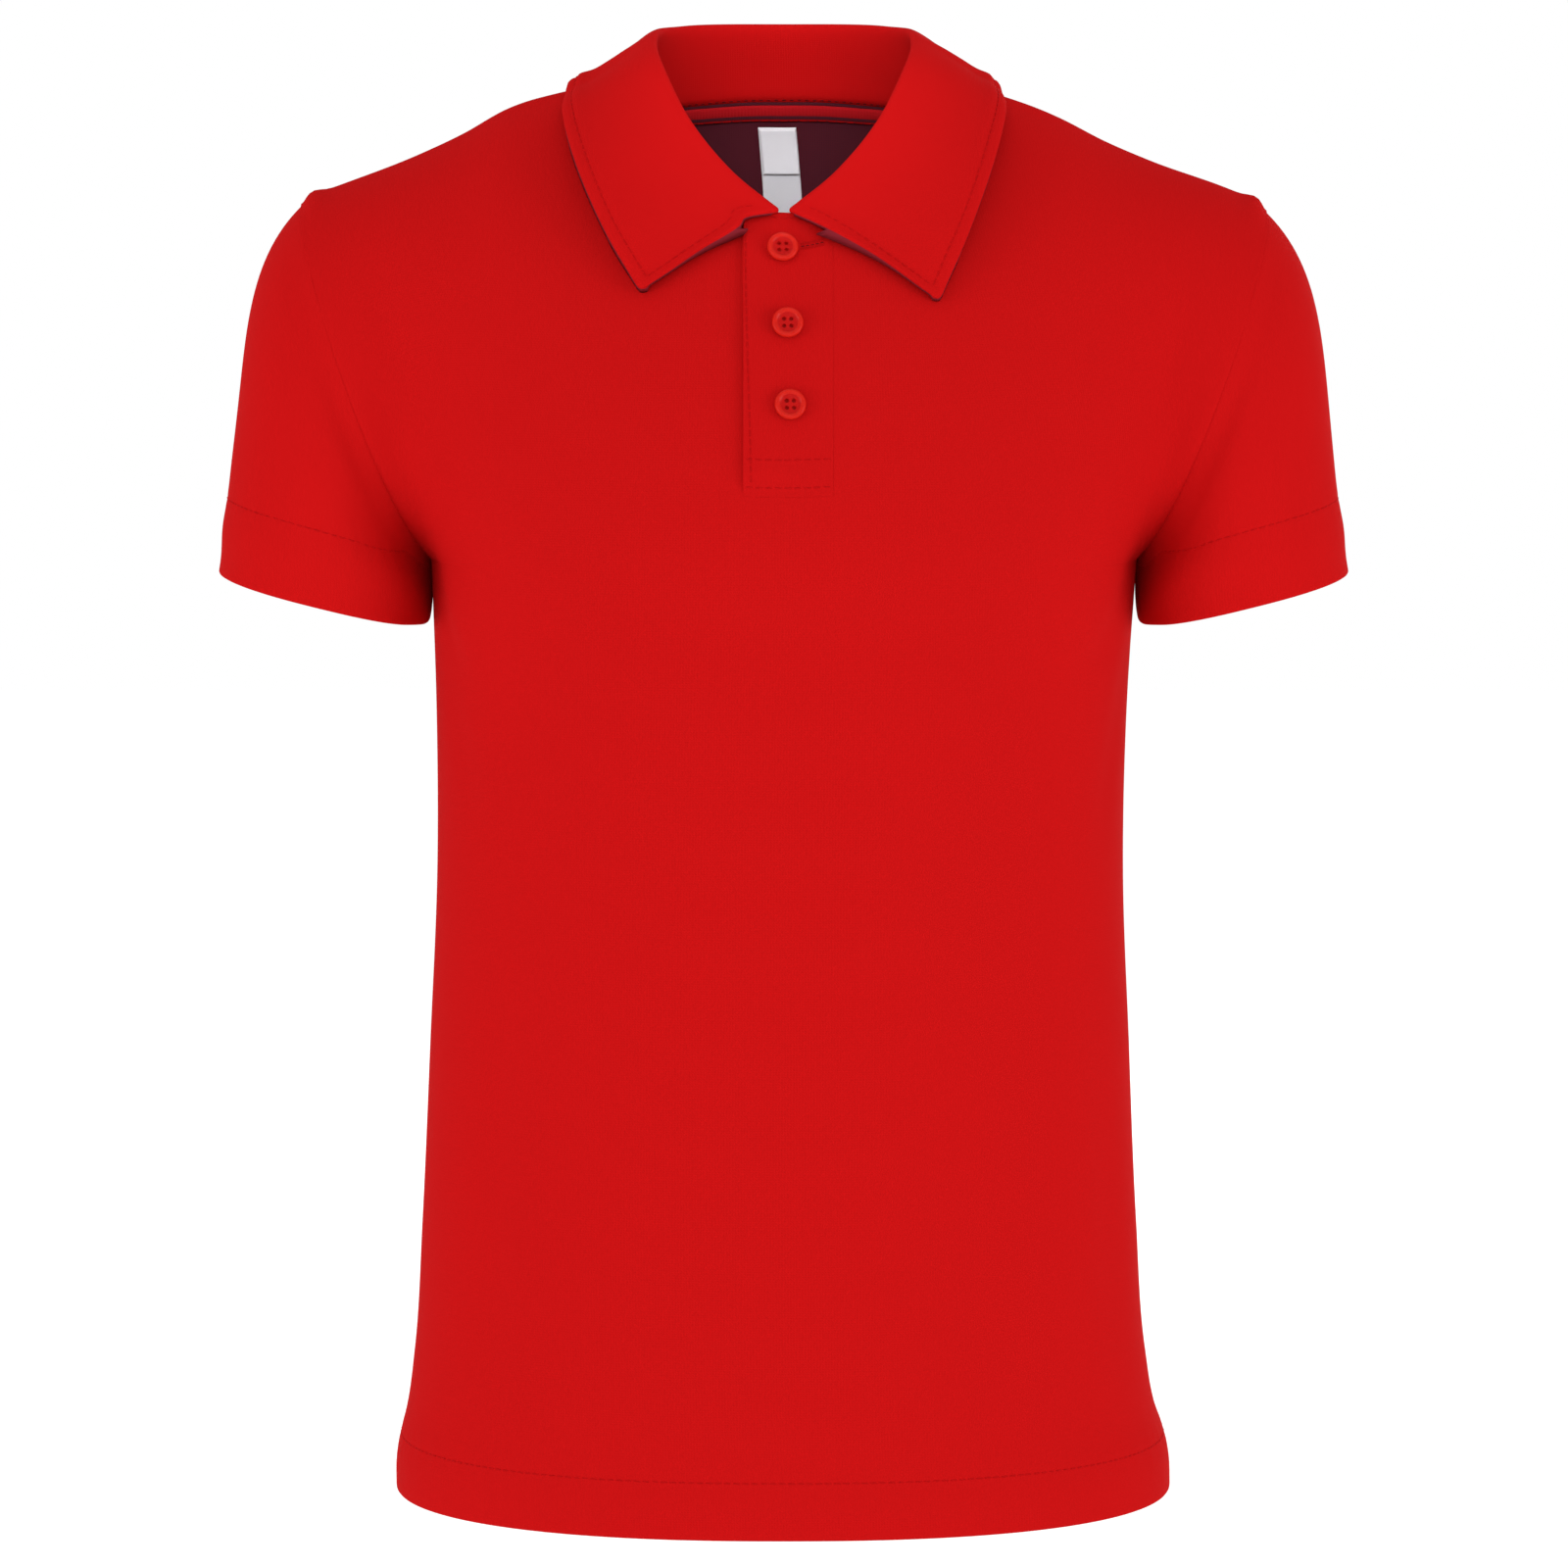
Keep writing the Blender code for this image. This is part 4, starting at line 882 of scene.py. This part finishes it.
def placketStrip(name, node, upper):
    free = placket["left"] - placket["overlap"]
    wide, high = placket["corner"]
    if upper:
        corner = free + wide * (1 - np.cos(np.radians(np.linspace(0, 90, 22))))
        last = placket["right"] + placket["lip"]
        middle = np.linspace(corner[-1], last - 0.0016, 16)[1:-1]
        x = np.concatenate([corner, middle, last - np.linspace(0.0016, 0, 6)])
        off = np.clip((corner[-1] - x) / wide, 0, 1)
        belowTop = high * (1 - np.sqrt(np.maximum(1 - off**2, 0))) + placket["topGap"][True]
        lift = stripLift(x)
    else:
        x = np.linspace(placket["left"], placket["right"] + placket["overlap"], 28)
        belowTop = np.full(x.shape, placket["topGap"][False])
        lift = stripLift(x) - placket["lift"]
    across = acrossAt(x)
    first = upAt(-1, 0.0, placket["foot"] + (-placket["lip"] if upper else 0.0001))
    share = spacing(0.10, 0.0011)
    ups = first + share[:, None] * (upBelowNeck(-1, across, belowTop) - first)
    across = np.broadcast_to(across, ups.shape)
    plain, facing = panelAt(-1, across, ups), panelFace(-1, across, ups)
    run, sideways = columnRun(plain), rowRun(plain)
    toTop, toFree = run[-1] - run, sideways
    # near its foot the strip sinks into the slit, and its lift dies out
    settle = smooth(run / 0.009)
    wall = placket["wall"]
    if upper:
        toSeam = sideways[:, -1:] - sideways
        lift = np.maximum(lift, 0) * settle + placket["lipHeight"]
        wall = placket["lipHeight"] * 0.6 + placket["wall"] * smooth(run / 0.009) * smooth(toSeam / 0.0016)
    else:
        lift = lift - 0.0012 * (1 - settle)
    face = plain + facing * lift[..., None]
    if upper:
        edge = np.minimum(toTop, toFree)
        face = face - facing * (0.0002 * bell(edge - 0.0024, 0.0009) * settle)[..., None]
        distance = edge + 0.002 * (1 - settle)
    else:
        distance = np.minimum(toTop, sideways[:, -1:] - sideways)
    return clothWall(name, node, face, wall, distance, 0.0008, [collarKnit, collarKnit]), face


overStrip, overFace = placketStrip("overStrip", "placket_over", True)
underStrip, _ = placketStrip("underStrip", "placket_under", False)


collarCut = dict(
    wall=0.0020,
    # turn round the neck from the middle of the back (-90) over the shoulder (0) to the front end: fold (out,
    # deep, up), outer edge (out, deep, up), the fold's roll, the edge's lift off the body, the leaf's bulge
    shape=(
        (-90.0, 0.0000, 0.0460, 0.0150, 0.0000, 0.0660, -0.0160, 0.0048, 0.0010, 0.0030),
        (-45.0, 0.0345, 0.0310, 0.0140, 0.0510, 0.0450, -0.0160, 0.0048, 0.0008, 0.0015),
        (0.0, 0.0445, -0.0030, 0.0090, 0.0720, -0.0060, -0.0095, 0.0040, 0.0013, 0.0004),
        (25.0, 0.0415, -0.0240, -0.0010, 0.0735, -0.0320, -0.0170, 0.0042, 0.0010, 0.0020),
        (45.0, 0.0325, -0.0400, -0.0185, 0.0682, -0.0520, -0.0336, 0.0038, 0.0012, 0.0030),
        (65.0, 0.0190, -0.0510, -0.0350, 0.0590, -0.0640, -0.0540, 0.0032, 0.0014, 0.0040),
        (86.5, 0.0024, -0.0582, -0.0484, 0.0470, -0.0700, -0.0745, 0.0016, 0.0016, 0.0036),
    ),
    leftTip=(0.0038, 0.0000, -0.0032),
    tipFrom=25.0,
    leftStandsUp=0.0018,
    clearance=0.0003,
    closeness=0.35,  # of the edge's lift that is left once the leaf has settled
    tipRound=0.0026,
    frontLift=0.0030,  # of the leaf's front edge, between its tip and the placket
    paintedShadowReach=(0.0003, 0.0066),  # how far the painted shadow reaches out below the outer edge and the front edge
    standRows=16,
    stitchFromEdge=0.0042,
    steep=(0.25, 1.05, 0.60),  # of the stand at the shoulder, and added in front and behind
)


def neckEdge(hand, turn):
    across = hand * acrossAt(neckHalfWidth * np.cos(np.radians(turn)))
    edge = np.where((turn > 0)[..., None], panelAt(-1, across, 1.0), panelAt(1, across, 1.0))
    return np.where(turn[..., None] == 0, edge * (1, 0, 1) + (0, body["shoulderDepth"], 0), edge)


# the way over the neck seam, and the direction square to it in which the walls are cut
def neckCut(hand, turn, step=1.0):
    ahead = unit(neckEdge(hand, turn + step) - neckEdge(hand, turn - step))
    angle = np.radians(turn)
    stand, inFront, behind = collarCut["steep"]
    steep = stand + np.abs(np.sin(angle)) * np.where(turn > 0, inFront, behind)
    onward = np.stack([-hand * np.cos(angle), np.sin(angle), steep], -1)
    cut = unit(np.cross(onward, ahead)) * np.reshape(hand, np.shape(turn) + (1,))
    return cut, unit(onward - ahead * (onward * ahead).sum(-1, keepdims=True))


# what the collar falls onto, as points and the way each faces
def groundUnderCollar():
    x = np.linspace(placket["left"] - placket["overlap"], placket["right"], 16)
    sheets = [(side, np.linspace(-1, 1, 161), 0.0) for side in (-1, 1)] + [(-1, acrossAt(x), stripLift(x))]
    places, facings = [], []
    for side, across, lift in sheets:
        across, up = np.meshgrid(across[::-side], np.linspace(0.3, 1, 90))
        facing = panelFace(side, across, up)
        place = panelAt(side, across, up) + facing * np.broadcast_to(lift, across.shape)[..., None]
        places.append(place.reshape(-1, 3))
        facings.append(facing.reshape(-1, 3))
    return np.concatenate(places), np.concatenate(facings)


# for each point, the facing of the ground's nearest point, and the height over it. The nearest is found by
# |p - g|^2 = |p|^2 - 2 p.g + |g|^2
def overGround(ground, points):
    places, facings = ground
    flat = points.reshape(-1, 3)
    squares = (places**2).sum(-1)
    parts = np.array_split(flat, 60)
    near = np.concatenate([np.argmin(squares - 2 * some @ places.T, axis=1) for some in parts])
    height = ((flat - places[near]) * facings[near]).sum(-1)
    return facings[near].reshape(points.shape), height.reshape(points.shape[:-1])


# points moved off the ground until they are `gap` above it, with a soft start. The moves are evened out along
# a grid's columns and rows
def liftOff(ground, points, gap, soft=0.0002, even=0):
    facing, height = overGround(ground, points)
    short = (gap - height) / 2
    move = facing * (short + np.sqrt(short**2 + soft**2))[..., None]
    for _ in range(even):
        evenOut(move)
        evenOut(move.swapaxes(0, 1))
    return points + move


# the leaf on the wearer's right ends beside the placket's rounded corner. Each row's end is moved clear of
# the corner's outline, and the points behind it follow, less and less over 22 mm
def besideStrip(fall, hands):
    end = fall[:, 0]
    outlineX, outlineZ = overFace[-1, :22, 0], overFace[-1, :22, 2]
    edge = np.interp(end[:, 2], outlineZ, outlineX) - 0.0006
    need = np.maximum(end[:, 0] - edge, 0) * smooth((outlineZ[-1] + 0.0008 - end[:, 2]) / 0.0020)
    need = need * smooth(columnRun(end) / 0.008)
    evenOut(need, 4)
    away = np.linalg.norm(fall - end[:, None], axis=-1)
    follow = smooth(1 - away / 0.022) * (hands < 0)
    return fall - (need[:, None] * follow)[..., None] * np.array([1.0, 0, 0])


def collarPiece():
    ground = groundUnderCollar()
    last = collarCut["shape"][-1][0]
    sweep = spacing(0.34, 0.0016) * 2 - 1
    turns, hands = np.abs(sweep) * (last + 90) - 90, np.where(sweep < 0, -1.0, 1.0)
    cut, onward = neckCut(hands, turns)
    foot = neckEdge(hands, turns) + onward * body["seam"] - cut * collarCut["wall"] / 2
    table = lookUp(reflected(collarCut["shape"], odd=(0, 3)), turns)
    mirror = np.stack([hands, np.ones_like(hands), np.ones_like(hands)], -1)
    fold, rim = table[:, :3] * mirror, table[:, 3:6] * mirror
    roll, lift = table[:, 6:7], table[:, 7]
    tipFrom = collarCut["tipFrom"]
    towardsTip = np.clip((turns - tipFrom) / (last - tipFrom), 0, 1) ** 2 * (hands > 0)
    rim = rim + towardsTip[:, None] * collarCut["leftTip"]
    least = collarCut["wall"] / 2 + body["seam"] + 0.0001
    rim = liftOff(ground, rim, least + lift * collarCut["closeness"])
    roundIt = unit(np.gradient(fold, axis=0))
    outward = rim - fold
    outward = unit(outward - roundIt * (outward * roundIt).sum(-1, keepdims=True) + (0, 0, 0.012))
    outward[:, 2] = np.maximum(outward[:, 2], -0.25)
    outward = unit(outward)
    standT = np.linspace(0, 1, collarCut["standRows"] + 1)[:-1, None] + 0 * turns
    fallT = spacing(0.045, 0.0011)[:, None] + 0 * turns
    full = table[:, 8] + collarCut["leftStandsUp"] * hands * np.maximum(np.cos(2 * np.radians(turns)), 0)
    bulge = full[:, None] * overGround(ground, rim)[0]
    stand = bezier(foot, foot + (fold - foot) * 0.55, fold - outward * roll, fold, standT)
    innerRim = rim + (fold - rim) * 0.38 + bulge
    # round tips: near its ends each column stops short of the edge, as a quarter circle does
    fromTip = fromEnds(columnRun(rim), 0)
    inTip = np.clip(1 - fromTip / collarCut["tipRound"], 0, 1)
    short = collarCut["tipRound"] * (1 - np.sqrt(1 - np.minimum(inTip, 0.999) ** 2))
    fallT = fallT * (1 - short / (3 * np.linalg.norm(rim - innerRim, axis=-1)))
    fall = bezier(fold, fold + outward * roll * 1.3, innerRim, rim, fallT)
    # the front edge bows off the shirt between the tip and the placket
    bow = np.sin(math.pi * np.clip(fallT * 1.15 - 0.08, 0, 1)) * bell(fromTip, 0.011)
    fall = liftOff(ground, fall, least + collarCut["clearance"] + collarCut["frontLift"] * bow, even=12)
    fall = besideStrip(fall, hands)
    middle = np.concatenate([stand, fall])
    run, sideways = columnRun(middle), rowRun(middle)
    toRim = run[-1] - run
    edge = np.minimum(toRim, fromEnds(sideways, 1))
    facing = gridFace(middle)
    # the leaf: a soft groove at the topstitch, and a fuller rim outside it
    onLeaf = smooth((np.arange(len(middle)) - len(stand) - 4) / 10)[:, None]
    overShoulder = np.maximum(np.cos(np.radians(turns)), 0) ** 4
    groove = -0.00042 * bell(edge - collarCut["stitchFromEdge"], 0.0008)
    groove = groove + 0.00026 * bell(edge - 0.0022, 0.0013)
    # over the shoulder the leaf's edge turns down in a round
    groove = groove + 0.0012 * bell(edge - 0.0058, 0.0036) * overShoulder
    face = middle + facing * (collarCut["wall"] / 2 + groove * onLeaf)[..., None]
    # inside the back of the neck the stand's foot is a round roll
    roll = 0.0014 * bell(run - 0.0024, 0.0010) * smooth((30 - turns) / 40)
    wall = collarCut["wall"] + roll
    distance = np.minimum(edge, run)
    # painted shadow: below its edges the leaf's inner face is moved out and down, so that its rim faces, in
    # the dark shadow colour, show as a dark line and as a wedge under each front edge. They reach down to the
    # cloth below
    inward = np.zeros(face.shape)
    thin, wedge = collarCut["paintedShadowReach"]
    below = 0.0004
    groundFacing, height = overGround(ground, middle[-1])
    reach = 0.0008 + 0.0060 * smooth((turns - 5) / 25)  # less behind, where the leaf stands off the back
    sunk = np.clip(height - below, 0, reach)[:, None]
    inward[-1] = unit(middle[-1] - middle[-2]) * thin - groundFacing * sunk
    outer = (np.arange(len(face)) >= len(stand) + 6) * 1.0
    for end, beside, clear in ((0, 1, -middle[:, 0, 0] - 0.0142), (-1, -2, middle[:, -1, 0] - 0.0140)):
        away = unit(middle[:, end] - middle[:, beside])
        shape = smooth((toRim[:, end] - 0.010) / 0.030) * smooth(clear / 0.0025) * outer
        groundFacing, height = overGround(ground, middle[:, end])
        sunk = (np.maximum(height - below, 0) * outer * (0.4 + 0.6 * shape))[:, None]
        inward[:-1, end] += (away * (thin * outer + wedge * shape)[:, None] - groundFacing * sunk)[:-1]
    # the rim faces take the painted shadow colour
    piece = clothWall(
        "shirtCollar", "collar", face, wall, distance, 0.0012, [collarKnit, collarKnit, edgeShadowKnit],
        inward=inward, rimFinish=2,
    )
    return piece, face, len(stand)


collar, collarFace, foldRow = collarPiece()


buttonCut = dict(
    # side, height, tilt forward at the top in degrees
    places=((-0.0006, -0.0610, 4.0), (0.0010, -0.0853, 8.0), (0.0019, -0.1112, 2.0)),
    radius=0.0057,
    size=0.90,  # of the section below
    clearance=0.0002,
    # section of the top from the middle to the edge and down to the back: radius, height
    section=(
        (0.0000, 0.00118), (0.0020, 0.00122), (0.0033, 0.00142), (0.0041, 0.00205), (0.0047, 0.00232),
        (0.0053, 0.00205), (0.0057, 0.00140), (0.0057, 0.00070), (0.0054, 0.00025), (0.0046, 0), (0, 0),
    ),
    holeRadius=0.00072,
    holeFromAxis=0.00168,
    holeDepth=0.00120,
    rimFrom=0.0037,  # from the middle to where the shinier rim begins
    steps=96,
)


def plasticMaterial():
    material, nodes, links, shader = newMaterial("redPlastic", (0.46, 0.005, 0.005), 0.36, 0.05)
    place = nodes.new("ShaderNodeTexCoord").outputs["Object"]
    cloud = addNoise(nodes, links, place, 420)
    addTone(nodes, links, shader, (0.38, 0.004, 0.004), (0.46, 0.006, 0.005), cloud)
    return material


plastic = plasticMaterial()
rimPlastic = newMaterial("rimPlastic", (0.52, 0.010, 0.005), 0.26, 0.09)[0]


# a turned disc: its section carried round the axis, with four wells where the distance to a hole's middle is
# under the hole's radius
def buttonPiece(number, x, z, tilt):
    steps, size = buttonCut["steps"], buttonCut["size"]
    stops = np.array(buttonCut["section"]) * size
    run = columnRun(stops)
    at = np.linspace(0, run[-1], steps)
    section = readAt(at, run, stops)
    evenOut(section, 3)
    radius, height = section.T
    radius[0] = radius[-1] = 0
    angle = np.linspace(0, 2 * math.pi, steps + 1)[:-1]
    px, py = np.outer(radius, np.cos(angle)), np.outer(radius, np.sin(angle))
    pz = np.repeat(height[:, None], steps, axis=1)
    top = at < run[5]
    aside = buttonCut["holeFromAxis"] * 0.7071  # of each hole along both axes
    away = np.hypot(np.abs(px) - aside, np.abs(py) - aside)
    well = smooth((buttonCut["holeRadius"] - away) / 0.00018) * top[:, None]
    pz = pz - well * buttonCut["holeDepth"]
    across, up = acrossAt(x), upAt(-1, acrossAt(x), z)
    slope = stripLift(x - 0.5) - stripLift(x + 0.5)
    facing = unit(panelFace(-1, across, up) + (slope, 0, 0))
    tilt = math.radians(tilt)
    raised = stripLift(x) + body["seam"] + buttonCut["clearance"] + buttonCut["radius"] * math.sin(tilt)
    place = panelAt(-1, across, up) + facing * raised
    sideAxis = unit(np.cross((0, 0, 1.0), facing))
    upAxis = np.cross(facing, sideAxis)
    axes = np.stack([
        sideAxis,
        upAxis * math.cos(tilt) + facing * math.sin(tilt),
        facing * math.cos(tilt) - upAxis * math.sin(tilt),
    ])
    points = np.stack([px, py, pz], -1)[1:-1].reshape(-1, 3)
    points = np.concatenate([points, [(0, 0, pz[0, 0]), (0, 0, 0)]]) @ axes + place
    rows = steps - 2
    squares = gridSquares(rows, steps, ring=True)[0][0][:, [0, 3, 2, 1]]
    ring = np.arange(steps)
    following, low = (ring + 1) % steps, (rows - 1) * steps
    topFan = np.stack([np.full(steps, rows * steps), ring, following], -1)
    lowFan = np.stack([np.full(steps, rows * steps + 1), low + following, low + ring], -1)
    faces = squares.tolist() + topFan.tolist() + lowFan.tolist()
    onRim = np.zeros(len(faces), int)
    onRim[: len(squares)] = np.repeat(radius[1:-2] > buttonCut["rimFrom"] * size, steps)
    piece = putMesh(f"button{number}", points, faces, [plastic, rimPlastic], finish=onRim)
    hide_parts(f"button_{number}")


for number, spot in enumerate(buttonCut["places"], 1):
    buttonPiece(number, *spot)
print("buttons are on")


insideCut = dict(
    tapeWidth=0.0065,
    tapeTop=0.0007,
    tapeEnd=0.010,  # from the shoulder seams, as a share of the way across
    tapeShadeBand=(0.14, 0.46),  # its painted shade: the band in the dark inside colour, as shares of its width from its foot
    gap=0.0009,
    wall=0.0009,
    labelHalf=0.0068,
    labelMiddle=-0.0025,
    labelDrop=0.0034,  # below the tape's foot, where it is sewn
    sizeLength=0.0160,
    mainLength=0.0380,
)


def satinMaterial():
    material, nodes, links, shader = newMaterial("labelSatin", (0.90, 0.89, 0.93), 0.42, 0.4)
    _, x, y = clothPattern(nodes, links)
    ribs, warp = (
        mathNode(nodes, links, "SINE", mathNode(nodes, links, "MULTIPLY", way, 2 * math.pi / period))
        for way, period in ((y, 0.0004), (x, 0.0003))
    )
    weave = mathNode(nodes, links, "MULTIPLY_ADD", warp, 0.4, ribs)
    addBump(nodes, links, shader, weave, 0.15, 0.0001)
    share = mathNode(nodes, links, "MULTIPLY_ADD", weave, 0.25, 0.5)
    addTone(nodes, links, shader, (0.86, 0.85, 0.91), (0.95, 0.94, 0.97), share)
    return material


labelSatin = satinMaterial()
tapeKnit = knitMaterial("tapeKnit", (0.42, 0.008, 0.012), (0.34, 0.007, 0.010), 0.0012, 0.0009, 0.2)


# a strip on the inside of the back, between two distances below the neckline, its face lifted off the cloth
def insideStrip(
    name, node, material, across, first, last, gap, step=0.0008, flare=0, turned=0, swell=0
):
    share = spacing(last - first, step)
    down = last + share[:, None] * (first - last)
    grid = np.broadcast_to(across[::-1], (len(share), len(across))) + turned * (1 - share[:, None])
    ups = upBelowNeck(1, grid, down)
    points, facing = panelAt(1, grid, ups), panelFace(1, grid, ups)
    face = points - facing * (body["wall"] + gap + flare * (1 - share[:, None, None]) ** 2)
    face = face - facing * (swell * np.sin(math.pi * share) ** 0.7)[:, None, None]
    run, sideways = columnRun(face), rowRun(face)
    distance = np.minimum(fromEnds(run, 0), fromEnds(sideways, 1))
    return clothWall(name, node, face, insideCut["wall"], distance, 0.0004, [material, material]), face


edgeAcross = neckAcross - insideCut["tapeEnd"]
tapeTurns = np.linspace(-math.pi / 2, math.pi / 2, 120)
tapeAcross = np.unique(np.clip(acrossAt(neckHalfWidth * np.sin(tapeTurns)), -edgeAcross, edgeAcross))
neckTape, tapeFace = insideStrip(
    "neckTape", "neck_tape", tapeKnit, tapeAcross,
    insideCut["tapeTop"], insideCut["tapeWidth"], insideCut["gap"], step=0.0005, swell=0.0009,
)
# painted shade: the tape's faces between these shares of its width take the dark inside colour, for the shade
# of the fold under the tape's upper half, down to the thin ridge at its foot
neckTape.data.materials.append(insideShadeKnit)
bandRows, bandColumns = tapeFace.shape[0] - 1, tapeFace.shape[1] - 1
tapeShare = np.linspace(0, 1, bandRows + 1)[:-1]
shadeFrom, shadeTo = insideCut["tapeShadeBand"]
for row in np.flatnonzero((tapeShare > shadeFrom) & (tapeShare < shadeTo)):
    for firstFace in (row * bandColumns, (bandRows + row) * bandColumns):
        for face in neckTape.data.polygons[firstFace : firstFace + bandColumns]:
            face.material_index = 2
labelX = insideCut["labelMiddle"] + insideCut["labelHalf"] * (spacing(0.0136, 0.0006) * 2 - 1)
labelTop = insideCut["tapeWidth"] + insideCut["labelDrop"]
mainLabel, _ = insideStrip(
    "mainLabel", "main_label", labelSatin, acrossAt(labelX),
    labelTop, labelTop + insideCut["mainLength"], insideCut["gap"], turned=0.012,
)
sizeLabel, _ = insideStrip(
    "sizeTab", "size_label", labelSatin, acrossAt(labelX * 0.97),
    labelTop, labelTop + insideCut["sizeLength"], insideCut["gap"] + insideCut["wall"] + body["seam"],
    flare=0.0022, turned=0.006,
)
print("tape and labels are in")


# where a row of the grid is a set distance from an edge: the row number for each column of `distance`
def rowWhere(distance, wanted, first=0):
    rows = np.arange(first, len(distance))
    order = [np.argsort(distance[first:, k]) for k in range(distance.shape[1])]
    return np.array([np.interp(wanted, distance[first:, k][o], rows[o]) for k, o in enumerate(order)])


fine = dict(length=0.0023, gap=0.0007, width=0.00042, rise=0.00016)


def sewRow(name, face, rows, columns, material=redThread, ring=False, sizes=fine):
    line, facing = gridPoint(face, rows, columns), gridPoint(gridFace(face, ring), rows, columns)
    if ring:
        line, facing = np.concatenate([line, line[:1]]), np.concatenate([facing, facing[:1]])
    return stitchLine(name, line, facing, material, **sizes)


for name, face in (("frontHemStitches", frontFace), ("backHemStitches", backFace)):
    run = columnRun(face)
    columns = np.arange(2, face.shape[1] - 2)
    rows = rowWhere(run[: len(face) // 3], body["hemHeight"] - 0.0004)[2:-2]
    sewRow(name, face, rows, columns)
for name, face, row in (
    ("leftCuffStitches", leftFace, leftHemRow),
    ("rightCuffStitches", rightFace, rightHemRow),
):
    columns = np.arange(face.shape[1])
    sewRow(name, face, np.full(columns.shape, row), columns, ring=True)
# round the leaf, inside its edge
leafInset = collarCut["stitchFromEdge"]
leafRun = columnRun(collarFace)
leafToRim, leafToEnd = leafRun[-1] - leafRun, fromEnds(rowRun(collarFace), 1)
columns = np.arange(collarFace.shape[1])
rows = rowWhere(leafToRim, leafInset, foldRow)
inside = leafToEnd[np.clip(rows.astype(int), 0, len(leafToEnd) - 1), columns] > leafInset
sewRow("leafStitches", collarFace, rows[inside], columns[inside])
for name, towards in (("rightLeafEndStitches", 1), ("leftLeafEndStitches", -1)):
    along = leafToEnd[:, ::towards][:, : collarFace.shape[1] // 2]
    places = rowWhere(along.T, leafInset)
    places = places if towards > 0 else collarFace.shape[1] - 1 - places
    rows = np.arange(foldRow + 8, len(collarFace) - 1)
    rows = rows[leafToRim[rows, np.clip(places[rows].astype(int), 0, collarFace.shape[1] - 1)] > leafInset]
    sewRow(name, collarFace, rows, places[rows])
# the upper strip: down its free edge and round its corner, then two rows across its foot
stripRun, stripAlong = columnRun(overFace), rowRun(overFace)
stripToTop = stripRun[-1] - stripRun
columns = np.arange(2, overFace.shape[1])
rows = rowWhere(stripToTop, placket["stitchFromEdge"])[columns]
clear = stripAlong[np.clip(rows.astype(int), 0, len(overFace) - 1), columns] > placket["stitchFromEdge"]
sewRow("stripTopStitches", overFace, rows[clear], columns[clear])
for number, height in enumerate(placket["footRows"], 1):
    columns = np.arange(4, overFace.shape[1] - 2)
    sewRow(f"stripFootStitches{number}", overFace, rowWhere(stripRun, height)[columns], columns)
rows = np.arange(6, len(overFace) - 2)
places = rowWhere(stripAlong.T, placket["stitchFromEdge"])[rows]
clear = stripToTop[rows, places.astype(int)] > placket["stitchFromEdge"]
sewRow("stripEdgeStitches", overFace, rows[clear], places[clear])
# the stand's foot inside the back of the neck: a row of dark stitches under the roll
columns = np.arange(collarFace.shape[1])[np.abs(collarFace[0, :, 0]) < 0.040]
columns = columns[collarFace[0, columns, 1] > 0]
rows = rowWhere(leafRun[:foldRow], 0.0007)[columns]
tiny = dict(length=0.0013, gap=0.0013, width=0.0004, rise=0.0001)
sewRow("tapeStitches", collarFace, rows, columns, darkThread, sizes=tiny)
# along the tape's foot, on the side that shows
tapeInner = tapeFace - gridFace(tapeFace) * insideCut["wall"]
columns = np.arange(2, tapeFace.shape[1] - 2)
line, facing = gridPoint(tapeInner, 1.6, columns), -gridPoint(gridFace(tapeFace), 1.6, columns)
stitchLine("tapeEdgeStitches", line, facing, redThread, length=0.0030, gap=0.0003, width=0.0006, rise=0.0002)
print("stitches are sewn")

# the top buttonhole, level beside its button: two rows of close stitches, with a line of dark beads between
# them as painted shade in the slit
hole = dict(first=0.0054, last=0.0132, height=-0.0603, apart=0.0008)
holeX = np.linspace(hole["first"], hole["last"], 30)
close = dict(length=0.0005, gap=0.0001, width=0.0010, rise=0.0002)
for name, off, thread, sizes in (
    ("buttonholeUpper", hole["apart"], redThread, close),
    ("buttonholeLower", -hole["apart"], redThread, close),
    ("buttonholeSlitShade", 0.0, darkThread, dict(length=0.0012, gap=0.0002, width=0.0004, rise=0.0001)),
):
    up = np.full(holeX.shape, upAt(-1, 0.0, hole["height"] + off))
    facing = panelFace(-1, acrossAt(holeX), up)
    line = panelAt(-1, acrossAt(holeX), up) + facing * (stripLift(holeX) + placket["lipHeight"])[:, None]
    stitchLine(name, line, facing, thread, **sizes)
print("buttonhole is sewn")


bpy.context.view_layer.update()
nowLow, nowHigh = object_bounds()
sizes = dict(cad=[list(frameLow), list(frameHigh)], scene=[list(nowLow), list(nowHigh)])
